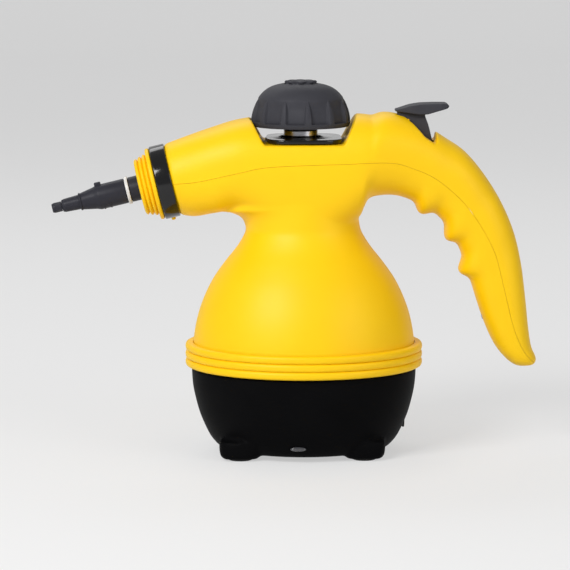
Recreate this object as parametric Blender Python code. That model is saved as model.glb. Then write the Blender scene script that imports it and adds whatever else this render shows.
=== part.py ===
"""A handheld steam cleaner at real size, one object for each piece, in metres with +Z up.

The origin is on the floor, under the middle of the whole length. The nozzle points to -X, the grip
is at +X, and the part is alike on both sides of the XZ plane. The pieces are drawn about the upright
axis that the boiler, its neck and the cap share, and one empty carries them all to their place.
"""

import math

import bmesh
import bpy
import numpy as np
from mathutils import Matrix, Vector

# Driving sizes of the whole
BODY_TOP = 0.2120  # floor to the top of the rear hump
SNOUT_REACH = 0.0860  # bottle's axis to the middle of the snout's band
GRIP_REACH = 0.1450  # bottle's axis to the heel of the grip
BODY_HALF_DEPTH = 0.0325  # half the body's thickness at the saddle
BELT_RADIUS = 0.0735  # half the width of the ribbed belt
BASE_TOP = 0.0535  # floor to the joint under the belt
AXIS_SETBACK = 0.0020  # the boiler, cap and feet stand this far in front of the bottle's axis
SNOUT_DROP = math.radians(13.5)  # how far the snout points below level

# Sizes that every piece shares
WALL = 0.0025
FIT = 0.0003  # gap between touching pieces
OVERRUN = 0.0050  # how far a cutter passes what it cuts
SCREW_RADIUS = 0.0016
SCREW_HEAD_RADIUS = 0.0030
SCREW_HEAD_HEIGHT = 0.0020
WELD = 0.000002  # points this close are one after a cut
FLAT_ANGLE = math.radians(0.3)  # faces that meet at less than this are one flat face
SHARP_ANGLE = math.radians(35)  # edges sharper than this stay crisp
THIN_WALLS = "MANIFOLD"  # the solver for the shells, whose thin walls the exact one leaves open
OVAL_STEPS = 32
ROUND_STEPS = 24
FOOT_STEPS = 16
SMALL_STEPS = 10
OVAL_SHARE = 0.925  # depth over width of the oval bottle, belt and base

# The arch: one row for each section from the snout over the saddle and down the grip. A row gives the
# outer x and z, the inner x and z and the half depth. An x is a share of SNOUT_REACH where it is
# negative and of GRIP_REACH where it isn't, a z is a share of BODY_TOP, a depth of BODY_HALF_DEPTH.
ARCH_SHARES = (
    (-0.860, 0.923, -0.779, 0.692, 0.754),
    (-0.674, 0.949, -0.628, 0.703, 0.862),
    (-0.442, 0.976, -0.442, 0.708, 0.954),
    (-0.083, 0.991, -0.097, 0.613, 1.000),
    (0.097, 0.993, 0.083, 0.613, 1.000),
    (0.248, 0.989, 0.224, 0.684, 0.972),
    (0.290, 0.9855, 0.252, 0.717, 0.948),
    (0.335, 0.9945, 0.276, 0.745, 0.923),
    (0.400, 0.989, 0.338, 0.754, 0.862),
    (0.497, 0.964, 0.403, 0.751, 0.785),
    (0.603, 0.919, 0.476, 0.732, 0.708),
    (0.685, 0.880, 0.545, 0.707, 0.646),
    (0.766, 0.815, 0.603, 0.667, 0.600),
    (0.841, 0.733, 0.652, 0.613, 0.563),
    (0.897, 0.643, 0.685, 0.557, 0.538),
    (0.930, 0.547, 0.713, 0.500, 0.523),
    (0.950, 0.440, 0.741, 0.439, 0.523),
    (0.961, 0.368, 0.775, 0.373, 0.517),
    (0.975, 0.307, 0.820, 0.309, 0.492),
    (0.997, 0.271, 0.872, 0.267, 0.431),
    (0.989, 0.253, 0.910, 0.250, 0.292),
)
ARCH_STEPS = 16
HOLLOW_STEPS = 10
ARCH_BOX_POWER = 2.5  # 2 is an ellipse, and more is boxier
HUMP_KEYS = (6, 14)  # between these rows the arch has a section half way to the next row too
FIRST_GRIP_KEY = 10  # the first row past the hump, from which the grip counts
HEEL_KEYS = 2  # rows at the heel that stay solid

# Finger ridges on the inner side of the grip
RIDGE_COUNT = 3
RIDGE_PITCH = 0.0238
RIDGE_HEIGHT = 0.0055
RIDGE_HALF_WIDTH = 0.0085
RIDGE_START = 0.0172  # along the inner side, from the first grip row to the first ridge
RIDGE_STATION_SHARES = (-1, -0.5, 0, 0.5, 1)
GRIP_SAMPLES = 30  # between two rows, when the grip's inner side is measured

# The two screws that hold the grip's halves, at places counted in rows of the arch
GRIP_SCREW_PLACES = (12.6, 17.6)
GRIP_BOSS_RADIUS = 0.0040
GRIP_SCREW_LENGTH_SHARE = 0.78

# The bottle under the arch: z, front and rear half width, half depth and the tilt of the section, up
# to the rear. A z is a share of BODY_TOP, and the widths and the depth are shares of SHELL_RADIUS.
BELT_RELIEF = 0.0049  # the belt stands this far out from the yellow shell
BOTTLE_SHARES = (
    (0.387, 0.969, 0.969, 0.896, 0.0),
    (0.445, 0.913, 0.913, 0.845, 0.0),
    (0.505, 0.825, 0.825, 0.763, 0.0),
    (0.557, 0.714, 0.714, 0.661, 0.0),
    (0.604, 0.599, 0.599, 0.554, 0.0),
    (0.646, 0.528, 0.520, 0.487, 0.0),
    (0.670, 0.531, 0.499, 0.476, 0.02),
    (0.696, 0.560, 0.488, 0.473, 0.05),
    (0.715, 0.612, 0.510, 0.471, 0.09),
    (0.729, 0.678, 0.576, 0.470, 0.11),
    (0.740, 0.758, 0.671, 0.468, 0.115),
    (0.778, 0.641, 0.583, 0.465, 0.10),
    (0.821, 0.496, 0.466, 0.455, 0.0),
)
SKIRT_SINK = 0.0025  # how far the shell's lower edge sits above the base's shoulder

# The saddle under the cap, and the scoop under the trigger, as cuts seen from the side. An x is a
# share of SADDLE_HALF_WIDTH in the saddle and of GRIP_REACH in the scoop, a z of BODY_TOP.
SADDLE_HALF_WIDTH = 0.0250
SADDLE_SHARES = (
    (-1.46, 1.010),
    (-1.00, 0.9085),
    (0.95, 0.9085),
    (1.42, 1.020),
)
SADDLE_FLOOR_SHARE = 0.9085
SCOOP_SHARES = (
    (0.384, 1.012),
    (0.388, 0.996),
    (0.427, 0.983),
    (0.464, 0.962),
    (0.490, 0.943),
    (0.512, 0.925),
    (0.558, 0.9038),
    (0.5605, 0.937),
    (0.5625, 1.012),
)

# The joint between the top cover and the body shell, seen from the side, from the front to the heel
PARTING_SHARES = (
    (-0.780, 0.802),
    (-0.500, 0.828),
    (-0.250, 0.848),
    (0.155, 0.856),
    (0.357, 0.858),
    (0.464, 0.838),
    (0.562, 0.805),
    (0.668, 0.742),
    (0.742, 0.675),
    (0.808, 0.590),
    (0.848, 0.488),
    (0.889, 0.375),
    (0.930, 0.307),
    (0.971, 0.271),
    (1.040, 0.226),
)

# The belt, and the base under it: z as a share of BASE_TOP, half width as a share of BASE_RADIUS
BELT_HEIGHT = 0.0145
BELT_RIBS = 3
BELT_RIB_DEPTH = 0.0016
BELT_RIB_SHARES = (0.25, 0.75)  # where a rib's curve has its points, of its height
BASE_RELIEF = 0.0039  # the belt stands this far out from the base
BASE_SHARES = (
    (0.056, 0.715),
    (0.080, 0.765),
    (0.170, 0.828),
    (0.270, 0.871),
    (0.430, 0.924),
    (0.572, 0.957),
    (0.759, 0.9885),
    (0.935, 1.0),
    (1.0, 1.0),
)
BASE_FLOOR = 0.0030  # thickness of the base's floor
COLLAR_RISE = 0.0080  # how far the base's collar reaches up inside the shell
COLLAR_WALL = 0.0020

# The feet, with a rubber pad under each, and the screws that go up through them
FOOT_ANGLE = math.radians(42.65)  # between the feet's lines and the XZ plane
FOOT_GAP = 0.0035  # between the posts over the feet and the boiler
FOOT_HALF_LENGTH = 0.0130
FOOT_HALF_WIDTH = 0.0105
FOOT_HEIGHT = 0.0120
FOOT_LIFT = 0.0010  # the moulded foot stays this far off the floor
FOOT_SHARES = ((0.0, 0.84), (0.2, 0.97), (1.0, 1.0))  # height, and the section's size there
FOOT_BOX_POWER = 2.9
PAD_RADIUS = 0.0075
PAD_HEIGHT = 0.0030
POST_RADIUS = 0.0042
BASE_SCREW_SEAT_SHARE = 0.22  # height of the screw heads' seat, of BASE_TOP
BOSS_RISE = 0.0160  # how far the shell's bosses reach above the base's posts

# The snout, along its own axis from the middle of the band, forward positive
SNOUT_AXIS_SHARE = 0.7934  # height of the snout's axis at the band, of BODY_TOP
SNOUT_RADIUS = 0.02235
BAND_LENGTH = 0.0095
BAND_RADIUS = 0.0230
THROAT_RADIUS = 0.0200
THROAT_LENGTH = 0.0030  # how far the halves reach past the middle of the band
COLLAR_STEP_LENGTH = 0.0028
COLLAR_RIB_LENGTH = 0.0080
COLLAR_RIB_RADIUS = 0.0194
COLLAR_RIB_DEPTH = 0.0010
COLLAR_RIBS = 3
COLLAR_CREST_SHARES = (0.33, 0.67)  # where a rib's flat crest starts and ends
SPIGOT_LENGTH = 0.0080  # the front collar's tail inside the throat
PEG_RADIUS = 0.0013
PEG_RISE = 0.0016

# The nozzle and what carries it, on the same axis
NOZZLE_RADIUS = 0.0077
NOZZLE_LENGTH = 0.0270  # the wide barrel, from the collar's face
NOZZLE_SINK = 0.0110  # how deep the barrel sits in the collar
NOZZLE_THIN_RADIUS = 0.0050
NOZZLE_CONE_LENGTH = 0.0100
NOZZLE_TIP_RADIUS = 0.0036
NOZZLE_REACH = 0.0555  # collar face to the tip's end
NOZZLE_BORE = 0.0040
JET_RADIUS = 0.0014
TIP_LENGTH = 0.0060
LUG_SIZE = 0.0040
LUG_RISE = 0.0016
RING_RADIUS = 0.0086
RING_LENGTH = 0.0020
RING_STAND = 0.0064  # collar face to the lock ring
OUTLET_RADIUS = 0.0034
OUTLET_BORE = 0.0012
OUTLET_FLANGE = 0.0120
OUTLET_FLANGE_LENGTH = 0.0030
OUTLET_REACH = 0.0080  # past the collar's face
SEAL_WIRE = 0.0008
SEAL_BACK = 0.0024  # spigot's end to the middle of its seal

# The boiler and the filler neck
TANK_RADIUS = 0.0440
TANK_WALL = 0.0018
TANK_BOTTOM = 0.0260
TANK_SHOULDER_SHARE = 0.405  # of BODY_TOP
TANK_THROAT_SHARE = 0.605  # of BODY_TOP
TANK_CORNER = 0.0060
TANK_FLANGE = 0.0020  # how far the welded rims of the boiler's halves stand out
TANK_RIM = 0.0016  # thickness of each rim
THROAT_PIPE_RADIUS = 0.0140
NECK_RADIUS = 0.0105
NECK_BORE = 0.0075
NECK_RISE = 0.0075  # above the saddle's floor
SEAT_INSET = 0.0050  # the seat's middle lies this far inside the tank's edge
SEAT_WALL = 0.0030
GASKET_HEIGHT = 0.0024
PORT_RADIUS = 0.0040
PORT_REACH = 0.0240
PORT_SIDE = 0.0080

# The heater, its thermostat, its fuse and its wiring
HEATER_RADIUS = 0.0260
HEATER_WIRE = 0.0032
HEATER_GAP_ANGLE = math.radians(16)
HEATER_LEG = 0.0060
HEATER_POINTS = 18
THERMOSTAT_RADIUS = 0.0080
THERMOSTAT_HEIGHT = 0.0070
THERMOSTAT_FOOT_SHARE = 0.7  # its lower step, of its radius
FUSE_RADIUS = 0.0020
FUSE_LENGTH = 0.0120
FUSE_SIDE = 0.0150
TERMINAL_DEPTH = 0.0070
TERMINAL_WIDTH = 0.0160
TERMINAL_HEIGHT = 0.0090
LEAD_RADIUS = 0.0011
LEAD_SIDE = 0.0045
LEAD_STEPS = 6
INLET_HEIGHT = 0.0190
INLET_RADIUS = 0.0050
INLET_SHANK = 0.0038
INLET_BORE = 0.0026
INLET_LIP = 0.0014
INLET_DEPTH = 0.0080
LENS_WIDTH = 0.0100
LENS_HEIGHT = 0.0030
LENS_DEPTH = 0.0050
LENS_SIDE = -0.0050
LENS_LEVEL = 0.0095

# The bezel, the cap and the plug in it
BEZEL_HALF_WIDTH = 0.0233
BEZEL_HALF_DEPTH = 0.0260
BEZEL_HEIGHT = 0.0018
BEZEL_BOX_POWER = 4
BEZEL_EDGE_SHARE = 0.98
BEZEL_CONE_RADIUS = 0.0155
BEZEL_CONE_RISE = 0.0018
CAP_RADIUS = 0.0307
CAP_HEIGHT = 0.0265
CAP_LIFT = 0.0099  # saddle floor to the cap's rim
CAP_WALL = 0.0028
CAP_RIM = 0.0028
CAP_RIM_EDGE = 0.0004  # the rim's step up to the flutes
CAP_FLUTES = 12
CAP_FLUTE_DEPTH = 0.0012
CAP_FLUTE_TOP_SHARE = 0.566  # of the cap's height
CAP_STEPS = 3 * CAP_FLUTES
CAP_PANEL_SINE = math.sin(math.pi / 3) ** 2  # what the flute's curve reaches on a panel's two points
CAP_TURNED_BY = math.radians(7.5)
CAP_CLEARANCE = 0.0010  # between the cap and the round recess in the saddle's walls
CAP_SHARES = (
    (0.965, 0.0),
    (1.0, 0.16),
    (0.961, 0.385),
    (0.889, 0.572),
    (0.726, 0.787),
    (0.355, 0.985),
)
DISC_RADIUS = 0.0100
DISC_HEIGHT = 0.0024
DISC_LOBES = 8
DISC_LOBE_DEPTH = 0.0006
DISC_CREST_SHARE = 0.9
PLUG_STEM_RADIUS = 0.0068
PLUG_STEM_LENGTH = 0.0120
PLUG_FLANGE_HEIGHT = 0.0040
PLUG_HEAD_RADIUS = 0.0120
PLUG_HEAD_HEIGHT = 0.0090
WASHER_HEIGHT = 0.0012
SOCKET_WALL = 0.0030

# The trigger, its pin, the steam valve under it and the pipes. Outline points are offsets from the
# pin, as shares of TRIGGER_LENGTH.
PIN_SPOT_SHARES = (0.417, 0.9575)  # x of GRIP_REACH, z of BODY_TOP
PIN_RADIUS = 0.0015
PIN_LENGTH = 0.0200
TRIGGER_LENGTH = 0.0340
TRIGGER_WIDTH = 0.0190
WEB_WIDTH = 0.0100
LUG_WIDTH = 0.0030
SLOT_CLEARANCE = 0.0008
PAD_SHARES = (
    (-0.138, 0.252),
    (-0.120, 0.285),
    (-0.018, 0.310),
    (0.132, 0.357),
    (0.318, 0.386),
    (0.541, 0.395),
    (0.810, 0.395),
    (0.862, 0.342),
    (0.809, 0.303),
    (0.632, 0.256),
    (0.447, 0.200),
    (0.279, 0.206),
    (0.044, 0.236),
)
WEB_SHARES = (
    (-0.085, 0.262),
    (0.404, 0.262),
    (0.420, 0.147),
    (0.465, 0.032),
    (0.497, -0.079),
    (0.526, -0.203),
    (0.550, -0.291),
    (0.540, -0.440),
    (0.370, -0.440),
    (0.180, -0.200),
    (-0.085, -0.110),
)
SLOT_FRONT_SHARE = -0.110
SLOT_REAR_SHARE = 0.580
FOOT_SHARE = 0.455  # where the trigger's foot presses, along its length
FOOT_DROP_SHARE = 0.440
VALVE_SIZE = 0.0140
VALVE_HEIGHT = 0.0180
VALVE_DROP = 0.0080  # trigger's foot to the valve's top
VALVE_BORE = 0.0048
PLUNGER_RADIUS = 0.0026
PLUNGER_HEAD = 0.0042
PLUNGER_HEAD_HEIGHT = 0.0016
PLUNGER_REACH = 0.0060  # valve's top to the underside of the plunger's disc
SPRING_RADIUS = 0.0036
SPRING_WIRE = 0.0005
SPRING_TURNS = 4
SPRING_POINTS = 9
SPRING_STEPS = 4
VALVE_INLET_SHARE = 0.75  # depth of the inlet's port, of the valve's height
VALVE_OUTLET_SHARE = 0.28
PIPE_RADIUS = 0.0020
PIPE_BORE = 0.0011
PIPE_STEPS = 6
PIPE_SIDE = 0.0032
PIPE_SINK = 0.0015  # how far a pipe's end sits in its port
PIPE_IN_POINTS = 12
PIPE_OUT_POINTS = 18
PIPE_TAIL_PITCH = 0.0060  # between the last points, which lie on the snout's axis

# The routes of the pipes. The one in goes by shares of its run to the valve, of its way to the side
# and of its rise; the one out by shares of its start's x and of its way round the neck.
PIPE_IN_SHARES = (
    (0.0, 0.0, 0.0),
    (0.0, 0.0, 0.28),
    (0.0, 0.0, 0.56),
    (0.06, 0.1, 0.84),
    (0.33, 0.6, 1.0),
    (0.66, 1.0, 1.0),
    (1.0, 1.0, 1.0),
)
PIPE_OUT_SHARES = (
    (1.0, 0.0),
    (0.78, 0.0),
    (0.52, 0.4),
    (0.27, 0.88),
    (0.0, 1.0),
    (-0.27, 0.88),
    (-0.5, 0.4),
)

# Sizes that follow from the ones above
SEAT_RADIUS = TANK_RADIUS - SEAT_INSET
FOOT_REACH = TANK_RADIUS + FOOT_GAP + POST_RADIUS
SHELL_RADIUS = BELT_RADIUS - BELT_RELIEF
BASE_RADIUS = BELT_RADIUS - BASE_RELIEF
BELT_BOTTOM = BASE_TOP + FIT
BELT_TOP = BELT_BOTTOM + BELT_HEIGHT
SADDLE_FLOOR = BODY_TOP * SADDLE_FLOOR_SHARE
SNOUT_HEIGHT = BODY_TOP * SNOUT_AXIS_SHARE
COLLAR_BACK = BAND_LENGTH / 2 + FIT
COLLAR_FACE = COLLAR_BACK + COLLAR_STEP_LENGTH + COLLAR_RIB_LENGTH
NECK_TOP = SADDLE_FLOOR + NECK_RISE
CAP_BOTTOM = SADDLE_FLOOR + CAP_LIFT
BASE_FLOOR_TOP = BASE_TOP * BASE_SHARES[0][0] + BASE_FLOOR
PIN_X = GRIP_REACH * PIN_SPOT_SHARES[0]
PIN_Z = BODY_TOP * PIN_SPOT_SHARES[1]
PRESS_X = PIN_X + TRIGGER_LENGTH * FOOT_SHARE
PRESS_Z = PIN_Z - TRIGGER_LENGTH * FOOT_DROP_SHARE
VALVE_TOP = PRESS_Z - VALVE_DROP
NOZZLE_FACE = COLLAR_FACE + NOZZLE_REACH
OUTLET_END = COLLAR_FACE + OUTLET_REACH


# Meshes


def mesh_of(name, points, faces):
    """A mesh with its faces turned outward."""
    mesh = bpy.data.meshes.new(name)
    mesh.from_pydata([tuple(map(float, point)) for point in points], [], faces)
    work = bmesh.new()
    work.from_mesh(mesh)
    bmesh.ops.recalc_face_normals(work, faces=work.faces)
    bmesh.ops.triangulate(work, faces=work.faces)
    work.to_mesh(mesh)
    work.free()
    return mesh


def lofted(name, rings):
    """A closed body through rings of equal count, each end closed at the middle of its ring."""
    rings = [np.asarray(ring, float) for ring in rings]
    count = len(rings[0])
    points = np.concatenate([*rings, [rings[0].mean(axis=0)], [rings[-1].mean(axis=0)]])
    faces = []
    for ring in range(len(rings) - 1):
        for step in range(count):
            after = (step + 1) % count
            low = ring * count
            high = low + count
            faces.append((low + step, low + after, high + after, high + step))
    first_pole = len(points) - 2
    last_ring = (len(rings) - 1) * count
    for step in range(count):
        after = (step + 1) % count
        faces.append((first_pole, step, after))
        faces.append((first_pole + 1, last_ring + after, last_ring + step))
    return mesh_of(name, points, faces)


def turned(name, profile, steps=ROUND_STEPS, squash=1.0, loop=False, shape=None):
    """A profile of (radius, height) points turned about Z.

    It ends on the axis at both ends, or closes on itself where loop is set. A shape function may
    change the radius of a point at each angle.
    """
    points = []
    rows = []
    for radius, height in profile:
        if radius == 0:
            rows.append([len(points)] * steps)
            points.append((0, 0, height))
            continue
        rows.append(range(len(points), len(points) + steps))
        for step in range(steps):
            angle = 2 * math.pi * step / steps
            reach = shape(radius, height, angle) if shape else radius
            points.append((reach * math.cos(angle), reach * math.sin(angle) * squash, height))
    faces = []
    pairs = list(zip(rows, rows[1:]))
    if loop:
        pairs.append((rows[-1], rows[0]))
    for low, high in pairs:
        for step in range(steps):
            after = (step + 1) % steps
            corners = (low[step], low[after], high[after], high[step])
            faces.append(tuple(dict.fromkeys(corners)))
    return mesh_of(name, points, [face for face in faces if len(face) > 2])


def swept(name, path, radius, sides=PIPE_STEPS, bore=0.0):
    """A tube along a path, solid or with an open bore."""
    path = [Vector(point) for point in path]
    along = [(b - a).normalized() for a, b in zip(path, path[1:])]
    along = [along[0], *[(a + b).normalized() for a, b in zip(along, along[1:])], along[-1]]
    across = along[0].orthogonal().normalized()
    outer = []
    inner = []
    for spot, ahead in zip(path, along):
        across = (across - ahead * across.dot(ahead)).normalized()
        other = ahead.cross(across)
        turns = [2 * math.pi * side / sides for side in range(sides)]
        rays = [across * math.cos(turn) + other * math.sin(turn) for turn in turns]
        outer.append([spot + ray * radius for ray in rays])
        inner.append([spot + ray * bore for ray in rays])
    if not bore:
        return lofted(name, outer)
    rings = [*outer, *reversed(inner)]
    points = [point for ring in rings for point in ring]
    faces = []
    for ring in range(len(rings)):
        low = ring * sides
        high = (ring + 1) % len(rings) * sides
        for side in range(sides):
            after = (side + 1) % sides
            faces.append((low + side, low + after, high + after, high + side))
    return mesh_of(name, points, faces)


def prism(name, outline, half_depth):
    """An outline of (x, z) points drawn out to both sides of the XZ plane."""
    count = len(outline)
    points = [(x, side * half_depth, z) for side in (-1, 1) for x, z in outline]
    faces = [tuple(range(count)), tuple(range(count, 2 * count))]
    for corner in range(count):
        after = (corner + 1) % count
        faces.append((corner, after, count + after, count + corner))
    return mesh_of(name, points, faces)


def block(name, low, high):
    """A box between two corners."""
    outline = [(low[0], low[2]), (high[0], low[2]), (high[0], high[2]), (low[0], high[2])]
    mesh = prism(name, outline, (high[1] - low[1]) / 2)
    mesh.transform(Matrix.Translation((0, (high[1] + low[1]) / 2, 0)))
    return mesh


def rod(name, start, end, radius, steps=SMALL_STEPS):
    """A round bar between two points."""
    return swept(name, (start, end), radius, steps)


def combined(mesh, tools, operation, solver="EXACT"):
    """The mesh after a Boolean with each tool. The mesh and the tools are used up."""
    body = bpy.data.objects.new(mesh.name, mesh)
    bpy.context.collection.objects.link(body)
    helpers = []
    for tool in tools:
        helper = bpy.data.objects.new(tool.name, tool)
        bpy.context.collection.objects.link(helper)
        helpers.append(helper)
        modifier = body.modifiers.new(tool.name, "BOOLEAN")
        modifier.operation = operation
        modifier.solver = solver
        modifier.object = helper
    bpy.context.view_layer.update()
    graph = bpy.context.evaluated_depsgraph_get()
    result = bpy.data.meshes.new_from_object(body.evaluated_get(graph))
    result.name = mesh.name
    work = bmesh.new()
    work.from_mesh(result)
    bmesh.ops.remove_doubles(work, verts=work.verts, dist=WELD)
    bmesh.ops.dissolve_degenerate(work, edges=work.edges, dist=WELD)
    bmesh.ops.dissolve_limit(work, angle_limit=FLAT_ANGLE, verts=work.verts, edges=work.edges)
    bmesh.ops.triangulate(work, faces=work.faces)
    work.to_mesh(result)
    work.free()
    for helper in [body, *helpers]:
        data = helper.data
        bpy.data.objects.remove(helper)
        bpy.data.meshes.remove(data)
    return result


def cut(mesh, *tools, solver="EXACT"):
    return combined(mesh, tools, "DIFFERENCE", solver)


def joined(mesh, *tools, solver="EXACT"):
    return combined(mesh, tools, "UNION", solver)


def common(mesh, *tools, solver="EXACT"):
    return combined(mesh, tools, "INTERSECT", solver)


def shifted(mesh, offset):
    mesh.transform(Matrix.Translation(offset))
    return mesh


# Objects and materials


def finish(name, colour, roughness, metallic=0.0):
    """A plain material with one surface shader."""
    material = bpy.data.materials.new(name)
    material.use_nodes = True
    shader = material.node_tree.nodes["Principled BSDF"]
    shader.inputs["Base Color"].default_value = (*colour, 1)
    shader.inputs["Roughness"].default_value = roughness
    shader.inputs["Metallic"].default_value = metallic
    material.diffuse_color = (*colour, 1)
    return material


def frame(name, location, parent=None, rotation=None):
    """An empty that carries pieces in its own directions."""
    empty = bpy.data.objects.new(name, None)
    bpy.context.collection.objects.link(empty)
    empty.parent = parent
    empty.location = location
    if rotation:
        empty.rotation_euler = rotation.to_euler()
    return empty


def piece(name, mesh, material, parent, location=(0, 0, 0)):
    """One node: the mesh with its material, at its place in its parent."""
    mesh.name = name
    mesh.materials.clear()
    mesh.materials.append(material)
    mesh.shade_smooth()
    mesh.set_sharp_from_angle(angle=SHARP_ANGLE)
    node = bpy.data.objects.new(name, mesh)
    bpy.context.collection.objects.link(node)
    node.parent = parent
    node.location = location
    return node


# Outlines


def spot(x_share, z_share):
    """A point of the side view, from its shares of the body's reach and height."""
    reach = SNOUT_REACH if x_share < 0 else GRIP_REACH
    return Vector((x_share * reach, z_share * BODY_TOP))


def axis_place():
    """The x of the boiler's axis, which puts the origin under the middle of the whole length."""
    tip_edge = NOZZLE_TIP_RADIUS - JET_RADIUS / 2
    front = SNOUT_REACH + NOZZLE_FACE * math.cos(SNOUT_DROP) + tip_edge * math.sin(SNOUT_DROP)
    rear = max(spot(row[0], row[1]).x for row in ARCH_SHARES)
    return (front - rear) / 2


def box_shares(power, steps):
    """Points of a closed outline about the origin, each within 1: a circle at power 2, boxier above it."""
    shares = []
    for step in range(steps):
        angle = 2 * math.pi * step / steps
        along = math.copysign(abs(math.cos(angle)) ** (2 / power), math.cos(angle))
        across = math.copysign(abs(math.sin(angle)) ** (2 / power), math.sin(angle))
        shares.append((along, across))
    return shares


def snout_spot(along, aside):
    """A point of the side view, from its place on the snout's axis and beside it."""
    ahead = Vector((-math.cos(SNOUT_DROP), -math.sin(SNOUT_DROP)))
    above = Vector((-math.sin(SNOUT_DROP), math.cos(SNOUT_DROP)))
    return Vector((-SNOUT_REACH, SNOUT_HEIGHT)) + ahead * along + above * aside


def snout_matrix():
    """The snout's own directions: Z forward along its axis and X above it."""
    sine = math.sin(SNOUT_DROP)
    cosine = math.cos(SNOUT_DROP)
    turn = Matrix(((-sine, 0, -cosine), (0, 1, 0), (cosine, 0, -sine))).to_4x4()
    return Matrix.Translation((-SNOUT_REACH, 0, SNOUT_HEIGHT)) @ turn


def on_snout(mesh):
    """A mesh made along Z, laid on the snout's axis."""
    mesh.transform(snout_matrix())
    return mesh


def through(rows, place):
    """A smooth curve through rows of numbers, at a place counted in rows."""
    rows = np.asarray(rows, float)
    place = min(max(place, 0.0), len(rows) - 1.0)
    low = min(int(place), len(rows) - 2)
    share = place - low
    before = rows[max(low - 1, 0)]
    start = rows[low]
    end = rows[low + 1]
    after = rows[min(low + 2, len(rows) - 1)]
    leave = (end - before) / 2
    arrive = (after - start) / 2
    cube = share**3
    square = share**2
    return (
        start * (2 * cube - 3 * square + 1)
        + leave * (cube - 2 * square + share)
        + end * (3 * square - 2 * cube)
        + arrive * (cube - square)
    )


def offset_outline(outline, distance):
    """An open outline moved to its right-hand side."""
    spots = [Vector(point) for point in outline]
    moved = []
    for index, here in enumerate(spots):
        before = spots[max(index - 1, 0)]
        after = spots[min(index + 1, len(spots) - 1)]
        ahead = (after - before).normalized()
        moved.append(here + Vector((ahead.y, -ahead.x)) * distance)
    return moved


# The yellow shell


def arch_rows():
    """Outer x and z, inner x and z, and half depth of each key section of the arch."""
    back = -COLLAR_BACK
    rows = [(*snout_spot(back, SNOUT_RADIUS), *snout_spot(back, -SNOUT_RADIUS), SNOUT_RADIUS)]
    for outer_x, outer_z, inner_x, inner_z, depth in ARCH_SHARES:
        rows.append((*spot(outer_x, outer_z), *spot(inner_x, inner_z), depth * BODY_HALF_DEPTH))
    return np.array(rows)


def grip_lengths(rows):
    """Places along the grip, counted in rows, and how far each is along the grip's inner side."""
    keys = len(rows) - 1 - FIRST_GRIP_KEY
    places = np.linspace(FIRST_GRIP_KEY, len(rows) - 1, GRIP_SAMPLES * keys)
    inner = np.array([through(rows, place)[2:4] for place in places])
    lengths = np.concatenate([[0], np.cumsum(np.linalg.norm(np.diff(inner, axis=0), axis=1))])
    return places, lengths


def ridge_rise(length):
    """How far the finger ridges stand out at a length along the grip's inner side."""
    rise = 0.0
    for ridge in range(RIDGE_COUNT):
        away = abs(length - RIDGE_START - ridge * RIDGE_PITCH) / RIDGE_HALF_WIDTH
        rise += RIDGE_HEIGHT * (1 + math.cos(math.pi * min(1.0, away))) / 2
    return rise


def arch_places(rows):
    """Where the arch has its sections: denser on the finger ridges."""
    places, lengths = grip_lengths(rows)
    ridges = []
    for ridge in range(RIDGE_COUNT):
        for share in RIDGE_STATION_SHARES:
            length = RIDGE_START + ridge * RIDGE_PITCH + share * RIDGE_HALF_WIDTH
            ridges.append(float(np.interp(length, lengths, places)))
    plain = [*range(len(rows)), *(key + 0.5 for key in range(*HUMP_KEYS))]
    apart = (ridges[1] - ridges[0]) / 2
    kept = [place for place in plain if not ridges[0] - apart < place < ridges[-1] + apart]
    return sorted(kept + ridges)


def boxy_ring(centre, half_height, half_depth, power, steps):
    """A closed ring about a centre in the side view, with rounded corners."""
    ring = []
    for up, side in box_shares(power, steps):
        here = centre + half_height * up
        ring.append((here[0], side * half_depth, here[1]))
    return ring


def arch_ring(rows, place, inset, lengths):
    """The arch's section at a place, drawn in by the inset."""
    row = through(rows, place)
    outer = np.array(row[0:2])
    inner = np.array(row[2:4])
    out = (outer - inner) / np.linalg.norm(outer - inner)
    if place >= FIRST_GRIP_KEY and not inset:
        inner = inner - out * ridge_rise(float(np.interp(place, *lengths)))
    outer = outer - out * inset
    inner = inner + out * inset
    power = 2 + (ARCH_BOX_POWER - 2) * min(1.0, place / 2)
    steps = HOLLOW_STEPS if inset else ARCH_STEPS
    return boxy_ring((outer + inner) / 2, (outer - inner) / 2, row[4] - inset, power, steps)


def throat_ring(along, radius, steps):
    top = np.array(snout_spot(along, radius))
    bottom = np.array(snout_spot(along, -radius))
    return boxy_ring((top + bottom) / 2, (top - bottom) / 2, radius, 2, steps)


def arch(name, inset=0.0):
    """The snout, hood, saddle, hump and grip as one bar, or the hollow in it where an inset is given."""
    rows = arch_rows()
    lengths = grip_lengths(rows)
    places = arch_places(rows)
    if inset:
        rings = [throat_ring(-COLLAR_BACK - inset, THROAT_RADIUS - inset - FIT, HOLLOW_STEPS)]
        places = range(1, len(rows) - HEEL_KEYS)
    else:
        ends = (THROAT_LENGTH, -COLLAR_BACK)
        rings = [throat_ring(along, THROAT_RADIUS, ARCH_STEPS) for along in ends]
    rings += [arch_ring(rows, place, inset, lengths) for place in places]
    return lofted(name, rings)


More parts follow.
